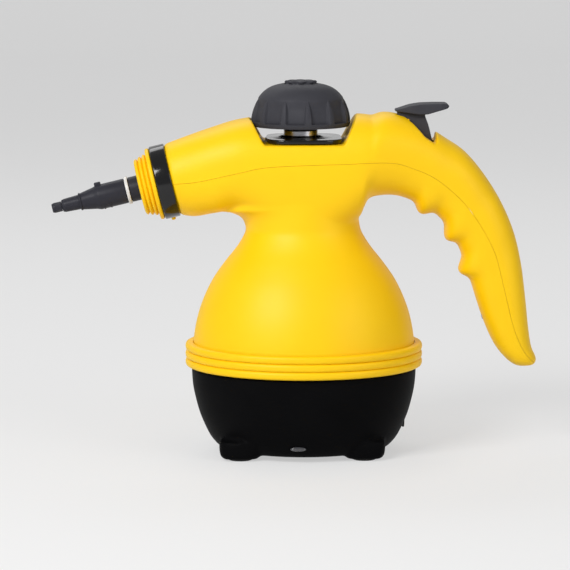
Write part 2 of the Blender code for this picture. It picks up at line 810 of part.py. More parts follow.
def bottle(name, inset=0.0):
    """The bottle from the skirt inside the belt to the inside of the arch, or the hollow in it."""
    skirt = BASE_TOP + SKIRT_SINK - (OVERRUN if inset else 0)
    rows = [(skirt, SHELL_RADIUS, SHELL_RADIUS, SHELL_RADIUS * OVAL_SHARE, 0.0)]
    rows.append((BELT_TOP, SHELL_RADIUS, SHELL_RADIUS, SHELL_RADIUS * OVAL_SHARE, 0.0))
    for height, front, rear, depth, tilt in BOTTLE_SHARES:
        sizes = (share * SHELL_RADIUS for share in (front, rear, depth))
        rows.append((height * BODY_TOP, *sizes, tilt))
    rings = []
    for height, front, rear, depth, tilt in rows:
        ring = []
        for step in range(OVAL_STEPS):
            angle = 2 * math.pi * step / OVAL_STEPS
            x = math.cos(angle) * ((rear if math.cos(angle) > 0 else front) - inset)
            ring.append((x, math.sin(angle) * (depth - inset), height + tilt * x))
        rings.append(ring)
    return lofted(name, rings)


def side_cut(name, outline, deeper=0.0):
    """A cut right across the body, from an outline that runs along its lower side."""
    lower = offset_outline(outline, deeper)
    top = BODY_TOP + OVERRUN + WALL
    closing = [(lower[-1][0], top), (lower[0][0], top)]
    return prism(name, [*lower, *closing], BODY_HALF_DEPTH + OVERRUN)


def saddle_outline():
    return [(x * SADDLE_HALF_WIDTH, z * BODY_TOP) for x, z in SADDLE_SHARES]


def scoop_outline():
    return [tuple(spot(x, z)) for x, z in SCOOP_SHARES]


def grip_screw_line(place):
    """The inner and outer end of the line that a grip screw lies on."""
    rows = arch_rows()
    row = through(rows, place)
    return Vector((row[2], 0, row[3])), Vector((row[0], 0, row[1]))


def shell_blank():
    """The whole yellow shell before it is parted: both solids, hollowed, with its screw bosses."""
    hollow = joined(arch("arch_hollow", WALL), bottle("bottle_hollow", WALL), solver=THIN_WALLS)
    kept = [side_cut("saddle_floor", saddle_outline(), WALL), cap_recess(WALL)]
    kept.append(side_cut("scoop_floor", scoop_outline(), WALL))
    hollow = cut(hollow, *kept, *grip_bosses(), solver=THIN_WALLS)
    solid = joined(arch("arch"), bottle("bottle"), solver=THIN_WALLS)
    outside = [side_cut("saddle", saddle_outline()), side_cut("scoop", scoop_outline()), cap_recess()]
    solid = cut(solid, *outside, solver=THIN_WALLS)
    return cut(solid, hollow, throat_bore(), *grip_screw_holes(), solver=THIN_WALLS)


def cap_recess(wider=0.0):
    """The round clearance for the cap in the saddle's walls."""
    low = (-AXIS_SETBACK, 0, SADDLE_FLOOR + BEZEL_HEIGHT + 2 * FIT - wider)
    radius = CAP_RADIUS + CAP_CLEARANCE + wider
    return rod("cap_recess", low, (-AXIS_SETBACK, 0, BODY_TOP + OVERRUN), radius, 2 * ROUND_STEPS)


def throat_bore():
    """The round bore through the snout's throat."""
    ends = [(0, 0, along) for along in (-COLLAR_BACK - WALL - OVERRUN, THROAT_LENGTH + OVERRUN)]
    return on_snout(rod("throat_bore", *ends, THROAT_RADIUS - WALL, OVAL_STEPS))


def grip_bosses():
    """Round columns across the grip's hollow, one on each screw."""
    bosses = []
    for place in GRIP_SCREW_PLACES:
        inner, outer = grip_screw_line(place)
        across = (outer - inner).normalized() * RIDGE_HEIGHT
        bosses.append(rod("grip_boss", inner - across, outer + across, GRIP_BOSS_RADIUS))
    return bosses


def grip_screw_ends(place):
    """Where a grip screw's head is seated, and where its point ends."""
    inner, outer = grip_screw_line(place)
    ahead = (outer - inner).normalized()
    seat = inner + ahead * (SCREW_HEAD_HEIGHT + FIT)
    return seat, inner + (outer - inner) * GRIP_SCREW_LENGTH_SHARE


def grip_screw_holes():
    """Each screw's hole: a shank hole and a wider one for its head, open on the grip's inner side."""
    holes = []
    for place in GRIP_SCREW_PLACES:
        seat, end = grip_screw_ends(place)
        ahead = (end - seat).normalized()
        mouth = seat - ahead * (SCREW_HEAD_HEIGHT + RIDGE_HEIGHT + OVERRUN)
        holes.append(rod("head_hole", mouth, seat, SCREW_HEAD_RADIUS + FIT))
        holes.append(rod("shank_hole", seat - ahead * FIT, end + ahead * FIT, SCREW_RADIUS + FIT))
    return holes


def parting_region(name, lower=0.0):
    """Everything above the joint line between the two halves, or that far below it as well."""
    line = [tuple(snout_spot(THROAT_LENGTH + OVERRUN, 0)), tuple(snout_spot(0, 0))]
    line += [tuple(spot(x, z)) for x, z in PARTING_SHARES]
    line = offset_outline(line, lower)
    far = line[-1][0] + OVERRUN
    near = line[0][0] - OVERRUN
    top = BODY_TOP + OVERRUN + WALL
    corners = [(far, line[-1][1]), (far, top), (near, top), (near, line[0][1])]
    return prism(name, [*line, *corners], BODY_HALF_DEPTH + OVERRUN)


def foot_spots():
    away = FOOT_REACH * math.cos(FOOT_ANGLE)
    aside = FOOT_REACH * math.sin(FOOT_ANGLE)
    return [(x * away - AXIS_SETBACK, y * aside) for x in (-1, 1) for y in (-1, 1)]


def shell_bosses():
    """Columns inside the skirt that take the base's screws, each with a rib to the wall."""
    bosses = []
    low = BASE_TOP - WALL
    for x, y in foot_spots():
        bosses.append(rod("boss", (x, y, low), (x, y, BASE_TOP + BOSS_RISE), POST_RADIUS))
        oval = math.hypot(x, y / OVAL_SHARE)
        reach = (SHELL_RADIUS - WALL / 2) / oval
        length = math.hypot(x, y) * (reach - 1)
        above = BASE_TOP + COLLAR_RISE + FIT
        rib = block("rib", (0, -WALL / 2, above), (length, WALL / 2, BASE_TOP + BOSS_RISE))
        rib.transform(Matrix.Rotation(math.atan2(y, x), 4, "Z"))
        bosses.append(shifted(rib, (x, y, 0)))
    return bosses


def base_screw_holes(low, high):
    """Holes on the four screw lines between two heights."""
    return [rod("hole", (x, y, low), (x, y, high), SCREW_RADIUS + FIT) for x, y in foot_spots()]


def body_shell(blank):
    shell = cut(blank.copy(), parting_region("upper_region", FIT), peg_tool(FIT), solver=THIN_WALLS)
    shell = joined(shell, *shell_bosses(), solver=THIN_WALLS)
    top = BASE_TOP + BOSS_RISE - WALL
    return cut(shell, *base_screw_holes(BASE_TOP - OVERRUN, top), solver=THIN_WALLS)


def top_cover(blank):
    cover = common(blank.copy(), parting_region("upper_region"), solver=THIN_WALLS)
    cover = joined(cover, *pin_lugs(), solver=THIN_WALLS)
    holes = [pin_tool("pin_hole", PIN_RADIUS + FIT, PIN_LENGTH / 2 + FIT)]
    ends = [(-AXIS_SETBACK, 0, SADDLE_FLOOR + past) for past in (-OVERRUN, WALL)]
    neck_hole = rod("neck_hole", *ends, NECK_RADIUS + WALL, ROUND_STEPS)
    return cut(cover, trigger_slot(), neck_hole, *holes, solver=THIN_WALLS)


# The belt and the base


def ribbed_belt():
    """A ring round the skirt with rounded ribs outside."""
    profile = [(SHELL_RADIUS + FIT, BELT_TOP), (SHELL_RADIUS + FIT, BELT_BOTTOM)]
    pitch = BELT_HEIGHT / BELT_RIBS
    profile.append((BELT_RADIUS - BELT_RIB_DEPTH, BELT_BOTTOM))
    for rib in range(BELT_RIBS):
        low = BELT_BOTTOM + rib * pitch
        for share in BELT_RIB_SHARES:
            profile.append((BELT_RADIUS, low + share * pitch))
        profile.append((BELT_RADIUS - BELT_RIB_DEPTH, low + pitch))
    return turned("belt", profile, OVAL_STEPS, OVAL_SHARE, loop=True)


def base_profile():
    """The base's section: outside from the middle of its floor up, then down the inside."""
    outside = [(share * BASE_RADIUS, height * BASE_TOP) for height, share in BASE_SHARES]
    collar = SHELL_RADIUS - WALL - FIT
    rim = [(collar, BASE_TOP), (collar, BASE_TOP + COLLAR_RISE)]
    rim += [(collar - COLLAR_WALL, BASE_TOP + COLLAR_RISE), (collar - COLLAR_WALL, BASE_TOP - WALL)]
    inside = [(radius - WALL, height) for radius, height in outside[3:-2] if height > BASE_FLOOR_TOP]
    floor = [(outside[1][0] - WALL, BASE_FLOOR_TOP), (0, BASE_FLOOR_TOP)]
    return [(0, outside[0][1]), *outside, *rim, *reversed(inside), *floor]


def foot_block(x, y):
    """One moulded foot: a rounded block that narrows towards the floor."""
    rings = []
    for rise, size in FOOT_SHARES:
        height = FOOT_LIFT + rise * (FOOT_HEIGHT - FOOT_LIFT)
        length = FOOT_HALF_LENGTH * size
        width = FOOT_HALF_WIDTH * size
        corners = box_shares(FOOT_BOX_POWER, FOOT_STEPS)
        rings.append([(x + along * length, y + across * width, height) for along, across in corners])
    return lofted("foot", rings)


def base_shell():
    base = turned("base", base_profile(), OVAL_STEPS, OVAL_SHARE)
    feet = [foot_block(x, y) for x, y in foot_spots()]
    post_top = BASE_TOP - WALL - FIT
    low = FOOT_LIFT + WALL
    posts = [rod("post", (x, y, low), (x, y, post_top), POST_RADIUS) for x, y in foot_spots()]
    base = joined(base, *feet, *posts, seat_ring(), solver=THIN_WALLS)
    seat = BASE_TOP * BASE_SCREW_SEAT_SHARE
    pad_top = PAD_HEIGHT + FIT
    holes = base_screw_holes(seat - OVERRUN, BASE_TOP)
    for x, y in foot_spots():
        holes.append(rod("head_hole", (x, y, -OVERRUN), (x, y, seat), SCREW_HEAD_RADIUS + FIT))
        pad_ends = [(x, y, -OVERRUN), (x, y, pad_top)]
        holes.append(rod("pad_hole", *pad_ends, PAD_RADIUS + FIT, FOOT_STEPS))
    return cut(base, *holes, *inlet_tools(), lens_tool(FIT, OVERRUN), solver=THIN_WALLS)


def seat_ring():
    """The round wall on the base's floor that carries the boiler, with a way through for the leads."""
    top = TANK_BOTTOM - GASKET_HEIGHT - 2 * FIT
    low = BASE_FLOOR_TOP - BASE_FLOOR / 2
    outside = SEAT_RADIUS + SEAT_WALL / 2
    inside = SEAT_RADIUS - SEAT_WALL / 2
    ring = turned("seat", [(inside, low), (outside, low), (outside, top), (inside, top)], loop=True)
    half = TERMINAL_WIDTH / 2 + WALL
    gate = block("gate", (0, -half, BASE_FLOOR_TOP), (outside + OVERRUN, half, top + OVERRUN))
    return shifted(cut(ring, gate), (-AXIS_SETBACK, 0, 0))


def inlet_tools():
    """The hole for the cord inlet and the flat pocket round it."""
    face = inlet_face()
    inside = (face - 2 * INLET_DEPTH, 0, INLET_HEIGHT)
    outside = (face + 2 * OVERRUN, 0, INLET_HEIGHT)
    hole = rod("inlet_hole", inside, outside, INLET_SHANK + FIT)
    pocket = rod("inlet_pocket", (face - FIT, 0, INLET_HEIGHT), outside, INLET_RADIUS + FIT)
    return [hole, pocket]


def base_radius_at(height):
    """Half width of the base's outside at a height."""
    heights = [share * BASE_TOP for share, _ in BASE_SHARES]
    radii = [share * BASE_RADIUS for _, share in BASE_SHARES]
    return float(np.interp(height, heights, radii))


def inlet_face():
    return base_radius_at(INLET_HEIGHT) - INLET_LIP


def cord_inlet():
    """A grommet: its lip on the outside, its shank through the wall and its bore open for a cord."""
    profile = [(INLET_BORE, -INLET_DEPTH), (INLET_SHANK, -INLET_DEPTH), (INLET_SHANK, 0)]
    profile += [(INLET_RADIUS, 0), (INLET_RADIUS, INLET_LIP), (INLET_BORE, INLET_LIP)]
    return turned("inlet", profile, SMALL_STEPS, loop=True)


def lens_tool(grow=0.0, longer=0.0):
    """The indicator's window, a flat oval bar through the base's near side."""
    face = -base_radius_at(LENS_LEVEL) * OVAL_SHARE
    outline = []
    for step in range(SMALL_STEPS):
        angle = 2 * math.pi * step / SMALL_STEPS
        x = LENS_SIDE + math.cos(angle) * (LENS_WIDTH / 2 + grow)
        outline.append((x, LENS_LEVEL + math.sin(angle) * (LENS_HEIGHT / 2 + grow)))
    bar = prism("lens", outline, LENS_DEPTH / 2 + longer)
    return shifted(bar, (0, face + LENS_DEPTH / 2 - WALL / 2, 0))


# The snout and the nozzle, along the snout's axis


def snout_band():
    """The clamp band over the throat, with its edges eased and a hole for its peg."""
    half = BAND_LENGTH / 2
    ease = (BAND_RADIUS - SNOUT_RADIUS) / 2
    inner = THROAT_RADIUS + FIT
    profile = [(inner, -half), (BAND_RADIUS - ease, -half), (BAND_RADIUS, -half + ease)]
    profile += [(BAND_RADIUS, half - ease), (BAND_RADIUS - ease, half), (inner, half)]
    band = turned("band", profile, loop=True)
    hole = rod("peg_hole", (-inner + OVERRUN, 0, 0), (-BAND_RADIUS - OVERRUN, 0, 0), PEG_RADIUS + FIT)
    return cut(band, hole)


def band_peg():
    """The small peg under the band: its shank in the shell, its head below."""
    start = -THROAT_RADIUS + WALL
    return rod("peg", (start, 0, 0), (-BAND_RADIUS - PEG_RISE, 0, 0), PEG_RADIUS)


def peg_tool(grow):
    start = (-THROAT_RADIUS + WALL + OVERRUN, 0, 0)
    return on_snout(rod("peg_hole", start, (-BAND_RADIUS - OVERRUN, 0, 0), PEG_RADIUS + grow))


def front_collar():
    """The yellow ring in front of the band: a wide step, narrow ribs, a tail in the throat, a bore."""
    bore = NOZZLE_RADIUS + FIT
    tail = THROAT_RADIUS - WALL - FIT
    step_end = COLLAR_BACK + COLLAR_STEP_LENGTH
    profile = [(bore, -SPIGOT_LENGTH / 2), (tail, -SPIGOT_LENGTH / 2), (tail, COLLAR_BACK)]
    profile += [(SNOUT_RADIUS, COLLAR_BACK), (SNOUT_RADIUS, step_end - COLLAR_RIB_DEPTH)]
    profile += [(SNOUT_RADIUS - COLLAR_RIB_DEPTH, step_end)]
    pitch = COLLAR_RIB_LENGTH / COLLAR_RIBS
    for rib in range(COLLAR_RIBS):
        low = step_end + rib * pitch
        radius = COLLAR_RIB_RADIUS - rib * COLLAR_RIB_DEPTH
        profile.append((radius - COLLAR_RIB_DEPTH, low))
        profile += [(radius, low + share * pitch) for share in COLLAR_CREST_SHARES]
    profile.append((COLLAR_RIB_RADIUS - COLLAR_RIBS * COLLAR_RIB_DEPTH, COLLAR_FACE))
    profile.append((bore, COLLAR_FACE))
    return turned("collar", profile, loop=True)


def steam_outlet():
    """The metal spigot that the nozzle slides on, with its flange behind the collar."""
    back = -SPIGOT_LENGTH / 2 - FIT
    behind = back - OUTLET_FLANGE_LENGTH
    tail = behind - OUTLET_FLANGE_LENGTH
    groove = OUTLET_END - SEAL_BACK
    floor = OUTLET_RADIUS - SEAL_WIRE
    profile = [(OUTLET_BORE, tail), (OUTLET_RADIUS, tail), (OUTLET_RADIUS, behind)]
    profile += [(OUTLET_FLANGE, behind), (OUTLET_FLANGE, back), (OUTLET_RADIUS, back)]
    profile += [(OUTLET_RADIUS, groove - SEAL_WIRE), (floor, groove - SEAL_WIRE)]
    profile += [(floor, groove + SEAL_WIRE), (OUTLET_RADIUS, groove + SEAL_WIRE)]
    profile += [(OUTLET_RADIUS, OUTLET_END), (OUTLET_BORE, OUTLET_END)]
    return turned("outlet", profile, SMALL_STEPS, loop=True)


def outlet_seal():
    """The ring in the spigot's groove."""
    low = OUTLET_END - SEAL_BACK - SEAL_WIRE + FIT
    high = OUTLET_END - SEAL_BACK + SEAL_WIRE - FIT
    inner = OUTLET_RADIUS - SEAL_WIRE + FIT / 2
    outer = NOZZLE_BORE - FIT / 2
    corners = [(inner, low), (outer, low), (outer, high), (inner, high)]
    return turned("seal", corners, SMALL_STEPS, loop=True)


def nozzle_body():
    """The black nozzle: a barrel that sits in the collar, a cone and a thin spout, bored right through."""
    start = COLLAR_FACE - NOZZLE_SINK
    barrel = COLLAR_FACE + NOZZLE_LENGTH
    end = NOZZLE_FACE - TIP_LENGTH - FIT
    ring_low = COLLAR_FACE + RING_STAND - FIT
    ring_high = ring_low + RING_LENGTH + 2 * FIT
    core = NOZZLE_RADIUS - WALL / 2
    bore_end = OUTLET_END + OVERRUN
    profile = [(NOZZLE_BORE, start), (NOZZLE_RADIUS, start), (NOZZLE_RADIUS, ring_low), (core, ring_low)]
    profile += [(core, ring_high), (NOZZLE_RADIUS, ring_high), (NOZZLE_RADIUS, barrel)]
    profile += [(NOZZLE_THIN_RADIUS, barrel + NOZZLE_CONE_LENGTH), (NOZZLE_TIP_RADIUS, end)]
    profile += [(JET_RADIUS, end), (JET_RADIUS, bore_end + NOZZLE_BORE), (NOZZLE_BORE, bore_end)]
    body = turned("nozzle", profile, loop=True)
    middle = barrel - LUG_SIZE / 2
    top = NOZZLE_RADIUS + LUG_RISE
    low = (core, -LUG_SIZE / 2, middle - LUG_SIZE / 2)
    lug = block("lug", low, (top, LUG_SIZE / 2, middle + LUG_SIZE / 2))
    return joined(body, lug)


def nozzle_tip():
    """The jet at the end of the spout."""
    start = NOZZLE_FACE - TIP_LENGTH
    profile = [(JET_RADIUS, start), (NOZZLE_TIP_RADIUS, start)]
    profile += [(NOZZLE_TIP_RADIUS, NOZZLE_FACE - JET_RADIUS)]
    profile += [(NOZZLE_TIP_RADIUS - JET_RADIUS / 2, NOZZLE_FACE), (JET_RADIUS, NOZZLE_FACE)]
    return turned("tip", profile, loop=True)


def nozzle_ring():
    """The pale ring snapped into the barrel's groove."""
    low = COLLAR_FACE + RING_STAND
    inner = NOZZLE_RADIUS - WALL / 2 + FIT
    high = low + RING_LENGTH
    profile = [(inner, low), (RING_RADIUS, low), (RING_RADIUS, high), (inner, high)]
    return turned("ring", profile, loop=True)


# The boiler and what is on it


def boiler_tank():
    """The boiler's lower half: a round pot, open at the top, with a rim to weld."""
    top = BODY_TOP * TANK_SHOULDER_SHARE
    corner = TANK_BOTTOM + TANK_CORNER
    rim = TANK_RADIUS + TANK_FLANGE
    inner = TANK_RADIUS - TANK_WALL
    profile = [(0, TANK_BOTTOM), (TANK_RADIUS - TANK_CORNER, TANK_BOTTOM), (TANK_RADIUS, corner)]
    profile += [(TANK_RADIUS, top - TANK_RIM), (rim, top - TANK_RIM), (rim, top), (inner, top)]
    profile += [(inner, corner), (TANK_RADIUS - TANK_CORNER, TANK_BOTTOM + TANK_WALL)]
    return turned("tank", [*profile, (0, TANK_BOTTOM + TANK_WALL)], ROUND_STEPS)


def boiler_dome():
    """The boiler's upper half: a cone from its rim up to the neck, with the steam port on it."""
    low_rim = BODY_TOP * TANK_SHOULDER_SHARE + FIT
    throat = BODY_TOP * TANK_THROAT_SHARE
    rim = TANK_RADIUS + TANK_FLANGE
    profile = [(TANK_RADIUS - TANK_WALL, low_rim), (rim, low_rim), (rim, low_rim + TANK_RIM)]
    profile += [(TANK_RADIUS, low_rim + TANK_RIM), (THROAT_PIPE_RADIUS, throat)]
    profile.append((THROAT_PIPE_RADIUS - TANK_WALL, throat))
    dome = turned("dome", profile, ROUND_STEPS, loop=True)
    low, high = port_heights()
    foot = Vector((PORT_REACH, PORT_SIDE, low))
    mouth = Vector((PORT_REACH, PORT_SIDE, high))
    past = Vector((0, 0, OVERRUN))
    port = rod("port", foot, mouth, PORT_RADIUS)
    hole = rod("port_hole", foot - past, mouth + past, PIPE_RADIUS + FIT)
    return cut(joined(dome, port), hole)


def filler_neck():
    """The tube from the boiler's dome up through the saddle, narrower where the bezel holds it."""
    low = BODY_TOP * TANK_THROAT_SHARE + FIT
    narrow = SADDLE_FLOOR - 2 * WALL - THROAT_PIPE_RADIUS
    profile = [(NECK_BORE, low), (THROAT_PIPE_RADIUS, low), (THROAT_PIPE_RADIUS, narrow)]
    profile += [(NECK_RADIUS, narrow + THROAT_PIPE_RADIUS - NECK_RADIUS), (NECK_RADIUS, NECK_TOP)]
    return turned("neck", [*profile, (NECK_BORE, NECK_TOP)], ROUND_STEPS, loop=True)


def port_heights():
    """Where the steam port's boss starts in the shoulder, and where it ends."""
    shoulder = BODY_TOP * TANK_SHOULDER_SHARE
    throat = BODY_TOP * TANK_THROAT_SHARE
    reach = math.hypot(PORT_REACH, PORT_SIDE)
    share = (TANK_RADIUS - reach) / (TANK_RADIUS - THROAT_PIPE_RADIUS)
    surface = shoulder + share * (throat - shoulder)
    return surface - PORT_RADIUS, surface + 2 * PORT_RADIUS


def tank_gasket():
    low = TANK_BOTTOM - GASKET_HEIGHT - FIT
    inside = SEAT_RADIUS - SEAT_WALL / 2
    outside = SEAT_RADIUS + SEAT_WALL / 2
    high = low + GASKET_HEIGHT
    return turned("gasket", [(inside, low), (outside, low), (outside, high), (inside, high)], loop=True)


def heating_element():
    """A nearly closed ring under the boiler, with its two ends bent down."""
    height = TANK_BOTTOM - FIT - HEATER_WIRE
    path = []
    for step in range(HEATER_POINTS + 1):
        angle = HEATER_GAP_ANGLE + 2 * (math.pi - HEATER_GAP_ANGLE) * step / HEATER_POINTS
        path.append((HEATER_RADIUS * math.cos(angle), HEATER_RADIUS * math.sin(angle), height))
    first = (path[0][0], path[0][1], height - HEATER_LEG)
    last = (path[-1][0], path[-1][1], height - HEATER_LEG)
    return swept("heater", [first, *path, last], HEATER_WIRE)


def thermostat():
    top = TANK_BOTTOM - FIT
    low = top - THERMOSTAT_HEIGHT
    step = top - THERMOSTAT_HEIGHT / 2
    foot = THERMOSTAT_RADIUS * THERMOSTAT_FOOT_SHARE
    profile = [(0, low), (foot, low), (foot, step), (THERMOSTAT_RADIUS, step), (THERMOSTAT_RADIUS, top)]
    return turned("thermostat", [*profile, (0, top)], FOOT_STEPS)


def thermal_fuse():
    height = TANK_BOTTOM - FIT - FUSE_RADIUS
    ends = [(side * FUSE_LENGTH / 2, FUSE_SIDE, height) for side in (-1, 1)]
    return rod("fuse", *ends, FUSE_RADIUS)


def terminal_start():
    """How far from the axis the terminal block starts: just outside the heater."""
    return HEATER_RADIUS + HEATER_WIRE + FIT


def terminal_block():
    start = terminal_start()
    low = (start, -TERMINAL_WIDTH / 2, BASE_FLOOR_TOP + FIT)
    high = (start + TERMINAL_DEPTH, TERMINAL_WIDTH / 2, low[2] + TERMINAL_HEIGHT)
    return block("terminal", low, high)


def heater_lead(side):
    """A lead from the terminal block to one leg of the heater."""
    angle = side * HEATER_GAP_ANGLE
    leg_x = HEATER_RADIUS * math.cos(angle)
    leg_y = HEATER_RADIUS * math.sin(angle)
    leg_end = TANK_BOTTOM - FIT - HEATER_WIRE - HEATER_LEG - FIT
    level = BASE_FLOOR_TOP + FIT + TERMINAL_HEIGHT / 2
    start = terminal_start() - FIT
    middle = (start + leg_x) / 2
    path = [(start, side * LEAD_SIDE, level), (middle, side * LEAD_SIDE, level)]
    path += [(leg_x, leg_y, (level + leg_end) / 2), (leg_x, leg_y, leg_end)]
    return swept("lead", path, LEAD_RADIUS, LEAD_STEPS)


# The bezel, the cap and its plug


def saddle_bezel():
    """The plate in the middle of the saddle, with a cone that rises to the neck."""
    low = SADDLE_FLOOR + FIT
    top = low + BEZEL_HEIGHT
    rings = []
    for height, size in ((low, 1.0), (top - FIT, 1.0), (top, BEZEL_EDGE_SHARE)):
        width = BEZEL_HALF_WIDTH * size
        depth = BEZEL_HALF_DEPTH * size
        corners = box_shares(BEZEL_BOX_POWER, ROUND_STEPS)
        ring = [(AXIS_SETBACK + along * width, across * depth, height) for along, across in corners]
        rings.append(ring)
    plate = lofted("plate", rings)
    lip = NECK_RADIUS + BEZEL_HEIGHT
    cone = [(0, low + FIT), (BEZEL_CONE_RADIUS, low + FIT), (BEZEL_CONE_RADIUS, top)]
    cone += [(lip, top + BEZEL_CONE_RISE), (0, top + BEZEL_CONE_RISE)]
    ends = [(0, 0, low - OVERRUN), (0, 0, top + BEZEL_CONE_RISE + OVERRUN)]
    hole = rod("bezel_hole", *ends, NECK_RADIUS + FIT, ROUND_STEPS)
    return cut(joined(plate, turned("cone", cone)), hole)


def fluted(radius, height, angle):
    """The cap's radius at an angle: its panels lie between ridges, on the outside above the rim."""
    heights = [share * CAP_HEIGHT for _, share in CAP_SHARES]
    radii = [share * CAP_RADIUS for share, _ in CAP_SHARES]
    outside = radius > np.interp(height, heights, radii) - CAP_WALL / 2
    if not outside or not CAP_RIM < height < CAP_HEIGHT * CAP_FLUTE_TOP_SHARE:
        return radius
    return radius - CAP_FLUTE_DEPTH * math.sin(angle * CAP_FLUTES / 2) ** 2 / CAP_PANEL_SINE


def cap_knob():
    """The dome with its flutes, hollow from below, with a round socket inside for the plug."""
    rim = [(CAP_RADIUS, CAP_RIM), (CAP_RADIUS, CAP_RIM + CAP_RIM_EDGE)]
    rise = [(share * CAP_RADIUS, height * CAP_HEIGHT) for share, height in CAP_SHARES]
    recess = CAP_HEIGHT - DISC_HEIGHT / 2
    crown = [(DISC_RADIUS + FIT, CAP_HEIGHT), (DISC_RADIUS + FIT, recess), (0, recess)]
    socket_low = plug_base() + PLUG_FLANGE_HEIGHT
    socket_top = socket_low + PLUG_HEAD_HEIGHT + FIT
    socket = PLUG_HEAD_RADIUS + FIT
    around = socket + SOCKET_WALL
    inner = [(0, socket_top), (socket, socket_top), (socket, socket_low), (around, socket_low)]
    inner.append((around, socket_top))
    dome = [(radius - CAP_WALL, height - CAP_WALL) for radius, height in reversed(rise[2:])]
    inner += [(radius, height) for radius, height in dome if radius > around]
    inner.append((rise[0][0] - CAP_WALL, 0))
    profile = [*inner, rise[0], *rim, *rise[1:], *crown]
    knob = turned("cap", profile, CAP_STEPS, shape=fluted)
    knob.transform(Matrix.Rotation(CAP_TURNED_BY, 4, "Z"))
    return knob


def plug_base():
    """Height of the plug's flange above the cap's rim, in the cap's own frame."""
    return NECK_TOP + WASHER_HEIGHT + 2 * FIT - CAP_BOTTOM


def cap_plug():
    """The metal plug: a stem in the neck, a flange on the washer and a head in the knob's socket."""
    base = plug_base()
    top = base + PLUG_FLANGE_HEIGHT + PLUG_HEAD_HEIGHT
    end = base - PLUG_STEM_LENGTH
    step = base + PLUG_FLANGE_HEIGHT + FIT
    profile = [(0, end), (PLUG_STEM_RADIUS, end), (PLUG_STEM_RADIUS, base), (NECK_RADIUS, base)]
    profile += [(NECK_RADIUS, step), (PLUG_HEAD_RADIUS, step), (PLUG_HEAD_RADIUS, top), (0, top)]
    return turned("plug", profile)


def cap_washer():
    base = plug_base() - FIT - WASHER_HEIGHT
    top = base + WASHER_HEIGHT
    inner = PLUG_STEM_RADIUS + FIT
    corners = [(inner, base), (NECK_RADIUS, base), (NECK_RADIUS, top), (inner, top)]
    return turned("washer", corners, loop=True)


def cap_disc():
    """The small lobed disc set into the top of the dome."""
    low = CAP_HEIGHT - DISC_HEIGHT / 2 + FIT
    top = low + DISC_HEIGHT

    def lobes(radius, height, angle):
        if height < CAP_HEIGHT:
            return radius - DISC_LOBE_DEPTH
        return radius - DISC_LOBE_DEPTH * (1 - math.cos(angle * DISC_LOBES)) / 2

    crest = DISC_RADIUS * DISC_CREST_SHARE
    profile = [(0, low), (DISC_RADIUS, low), (DISC_RADIUS, top - DISC_LOBE_DEPTH), (crest, top)]
    return turned("disc", [*profile, (0, top)], 4 * DISC_LOBES, shape=lobes)


# The trigger, the valve and the pipes


def pin_tool(name, radius, half_length):
    return rod(name, (PIN_X, -half_length, PIN_Z), (PIN_X, half_length, PIN_Z), radius)


def pin_lugs():
    """Two lugs under the hump that hold the pin, one on each side of the slot."""
    inner = WEB_WIDTH / 2 + SLOT_CLEARANCE
    half = PIN_RADIUS + WALL
    lugs = []
    for side in (-1, 1):
        ends = sorted((side * inner, side * (inner + LUG_WIDTH)))
        low = (PIN_X - half, ends[0], PIN_Z - half)
        lugs.append(block("pin_lug", low, (PIN_X + half, ends[1], PIN_Z + half)))
    return lugs


def trigger_slot():
    """The slot in the scoop that the trigger's web moves in."""
    half = WEB_WIDTH / 2 + SLOT_CLEARANCE
    low = (PIN_X + SLOT_FRONT_SHARE * TRIGGER_LENGTH, -half, PRESS_Z - VALVE_DROP)
    high = (PIN_X + SLOT_REAR_SHARE * TRIGGER_LENGTH, half, BODY_TOP + OVERRUN)
    return block("slot", low, high)


def trigger():
    """The thumb pad and its web, drawn about the pin."""
    outlines = []
    for shares in (WEB_SHARES, PAD_SHARES):
        outlines.append([(x * TRIGGER_LENGTH, z * TRIGGER_LENGTH) for x, z in shares])
    web = prism("web", outlines[0], WEB_WIDTH / 2)
    pad = prism("pad", outlines[1], TRIGGER_WIDTH / 2)
    hole = rod("pin_hole", (0, -WEB_WIDTH, 0), (0, WEB_WIDTH, 0), PIN_RADIUS + FIT)
    return cut(joined(web, pad), hole)


def valve_body():
    """The valve's block, with a bore for the plunger and its spring and a port to each pipe."""
    half = VALVE_SIZE / 2
    body = block("valve", (-half, -half, -VALVE_HEIGHT), (half, half, 0))
    bore = rod("valve_bore", (0, 0, -VALVE_HEIGHT + WALL), (0, 0, OVERRUN), VALVE_BORE)
    ports = []
    for side, share in ((1, VALVE_INLET_SHARE), (-1, VALVE_OUTLET_SHARE)):
        ends = [(x, side * PIPE_SIDE, -VALVE_HEIGHT * share) for x in (0, -VALVE_SIZE)]
        ports.append(rod("port", *ends, PIPE_RADIUS + FIT))
    return cut(body, bore, *ports)


def valve_plunger():
    """The stem that the trigger's foot presses, with a head on top and a disc in the bore."""
    top = PRESS_Z - FIT - VALVE_TOP
    disc = VALVE_BORE - FIT
    profile = [(0, -PLUNGER_REACH), (disc, -PLUNGER_REACH), (disc, -PLUNGER_REACH + WALL)]
    profile += [(PLUNGER_RADIUS, -PLUNGER_REACH + WALL), (PLUNGER_RADIUS, top - PLUNGER_HEAD_HEIGHT)]
    profile += [(PLUNGER_HEAD, top - PLUNGER_HEAD_HEIGHT), (PLUNGER_HEAD, top), (0, top)]
    return turned("plunger", profile, FOOT_STEPS)


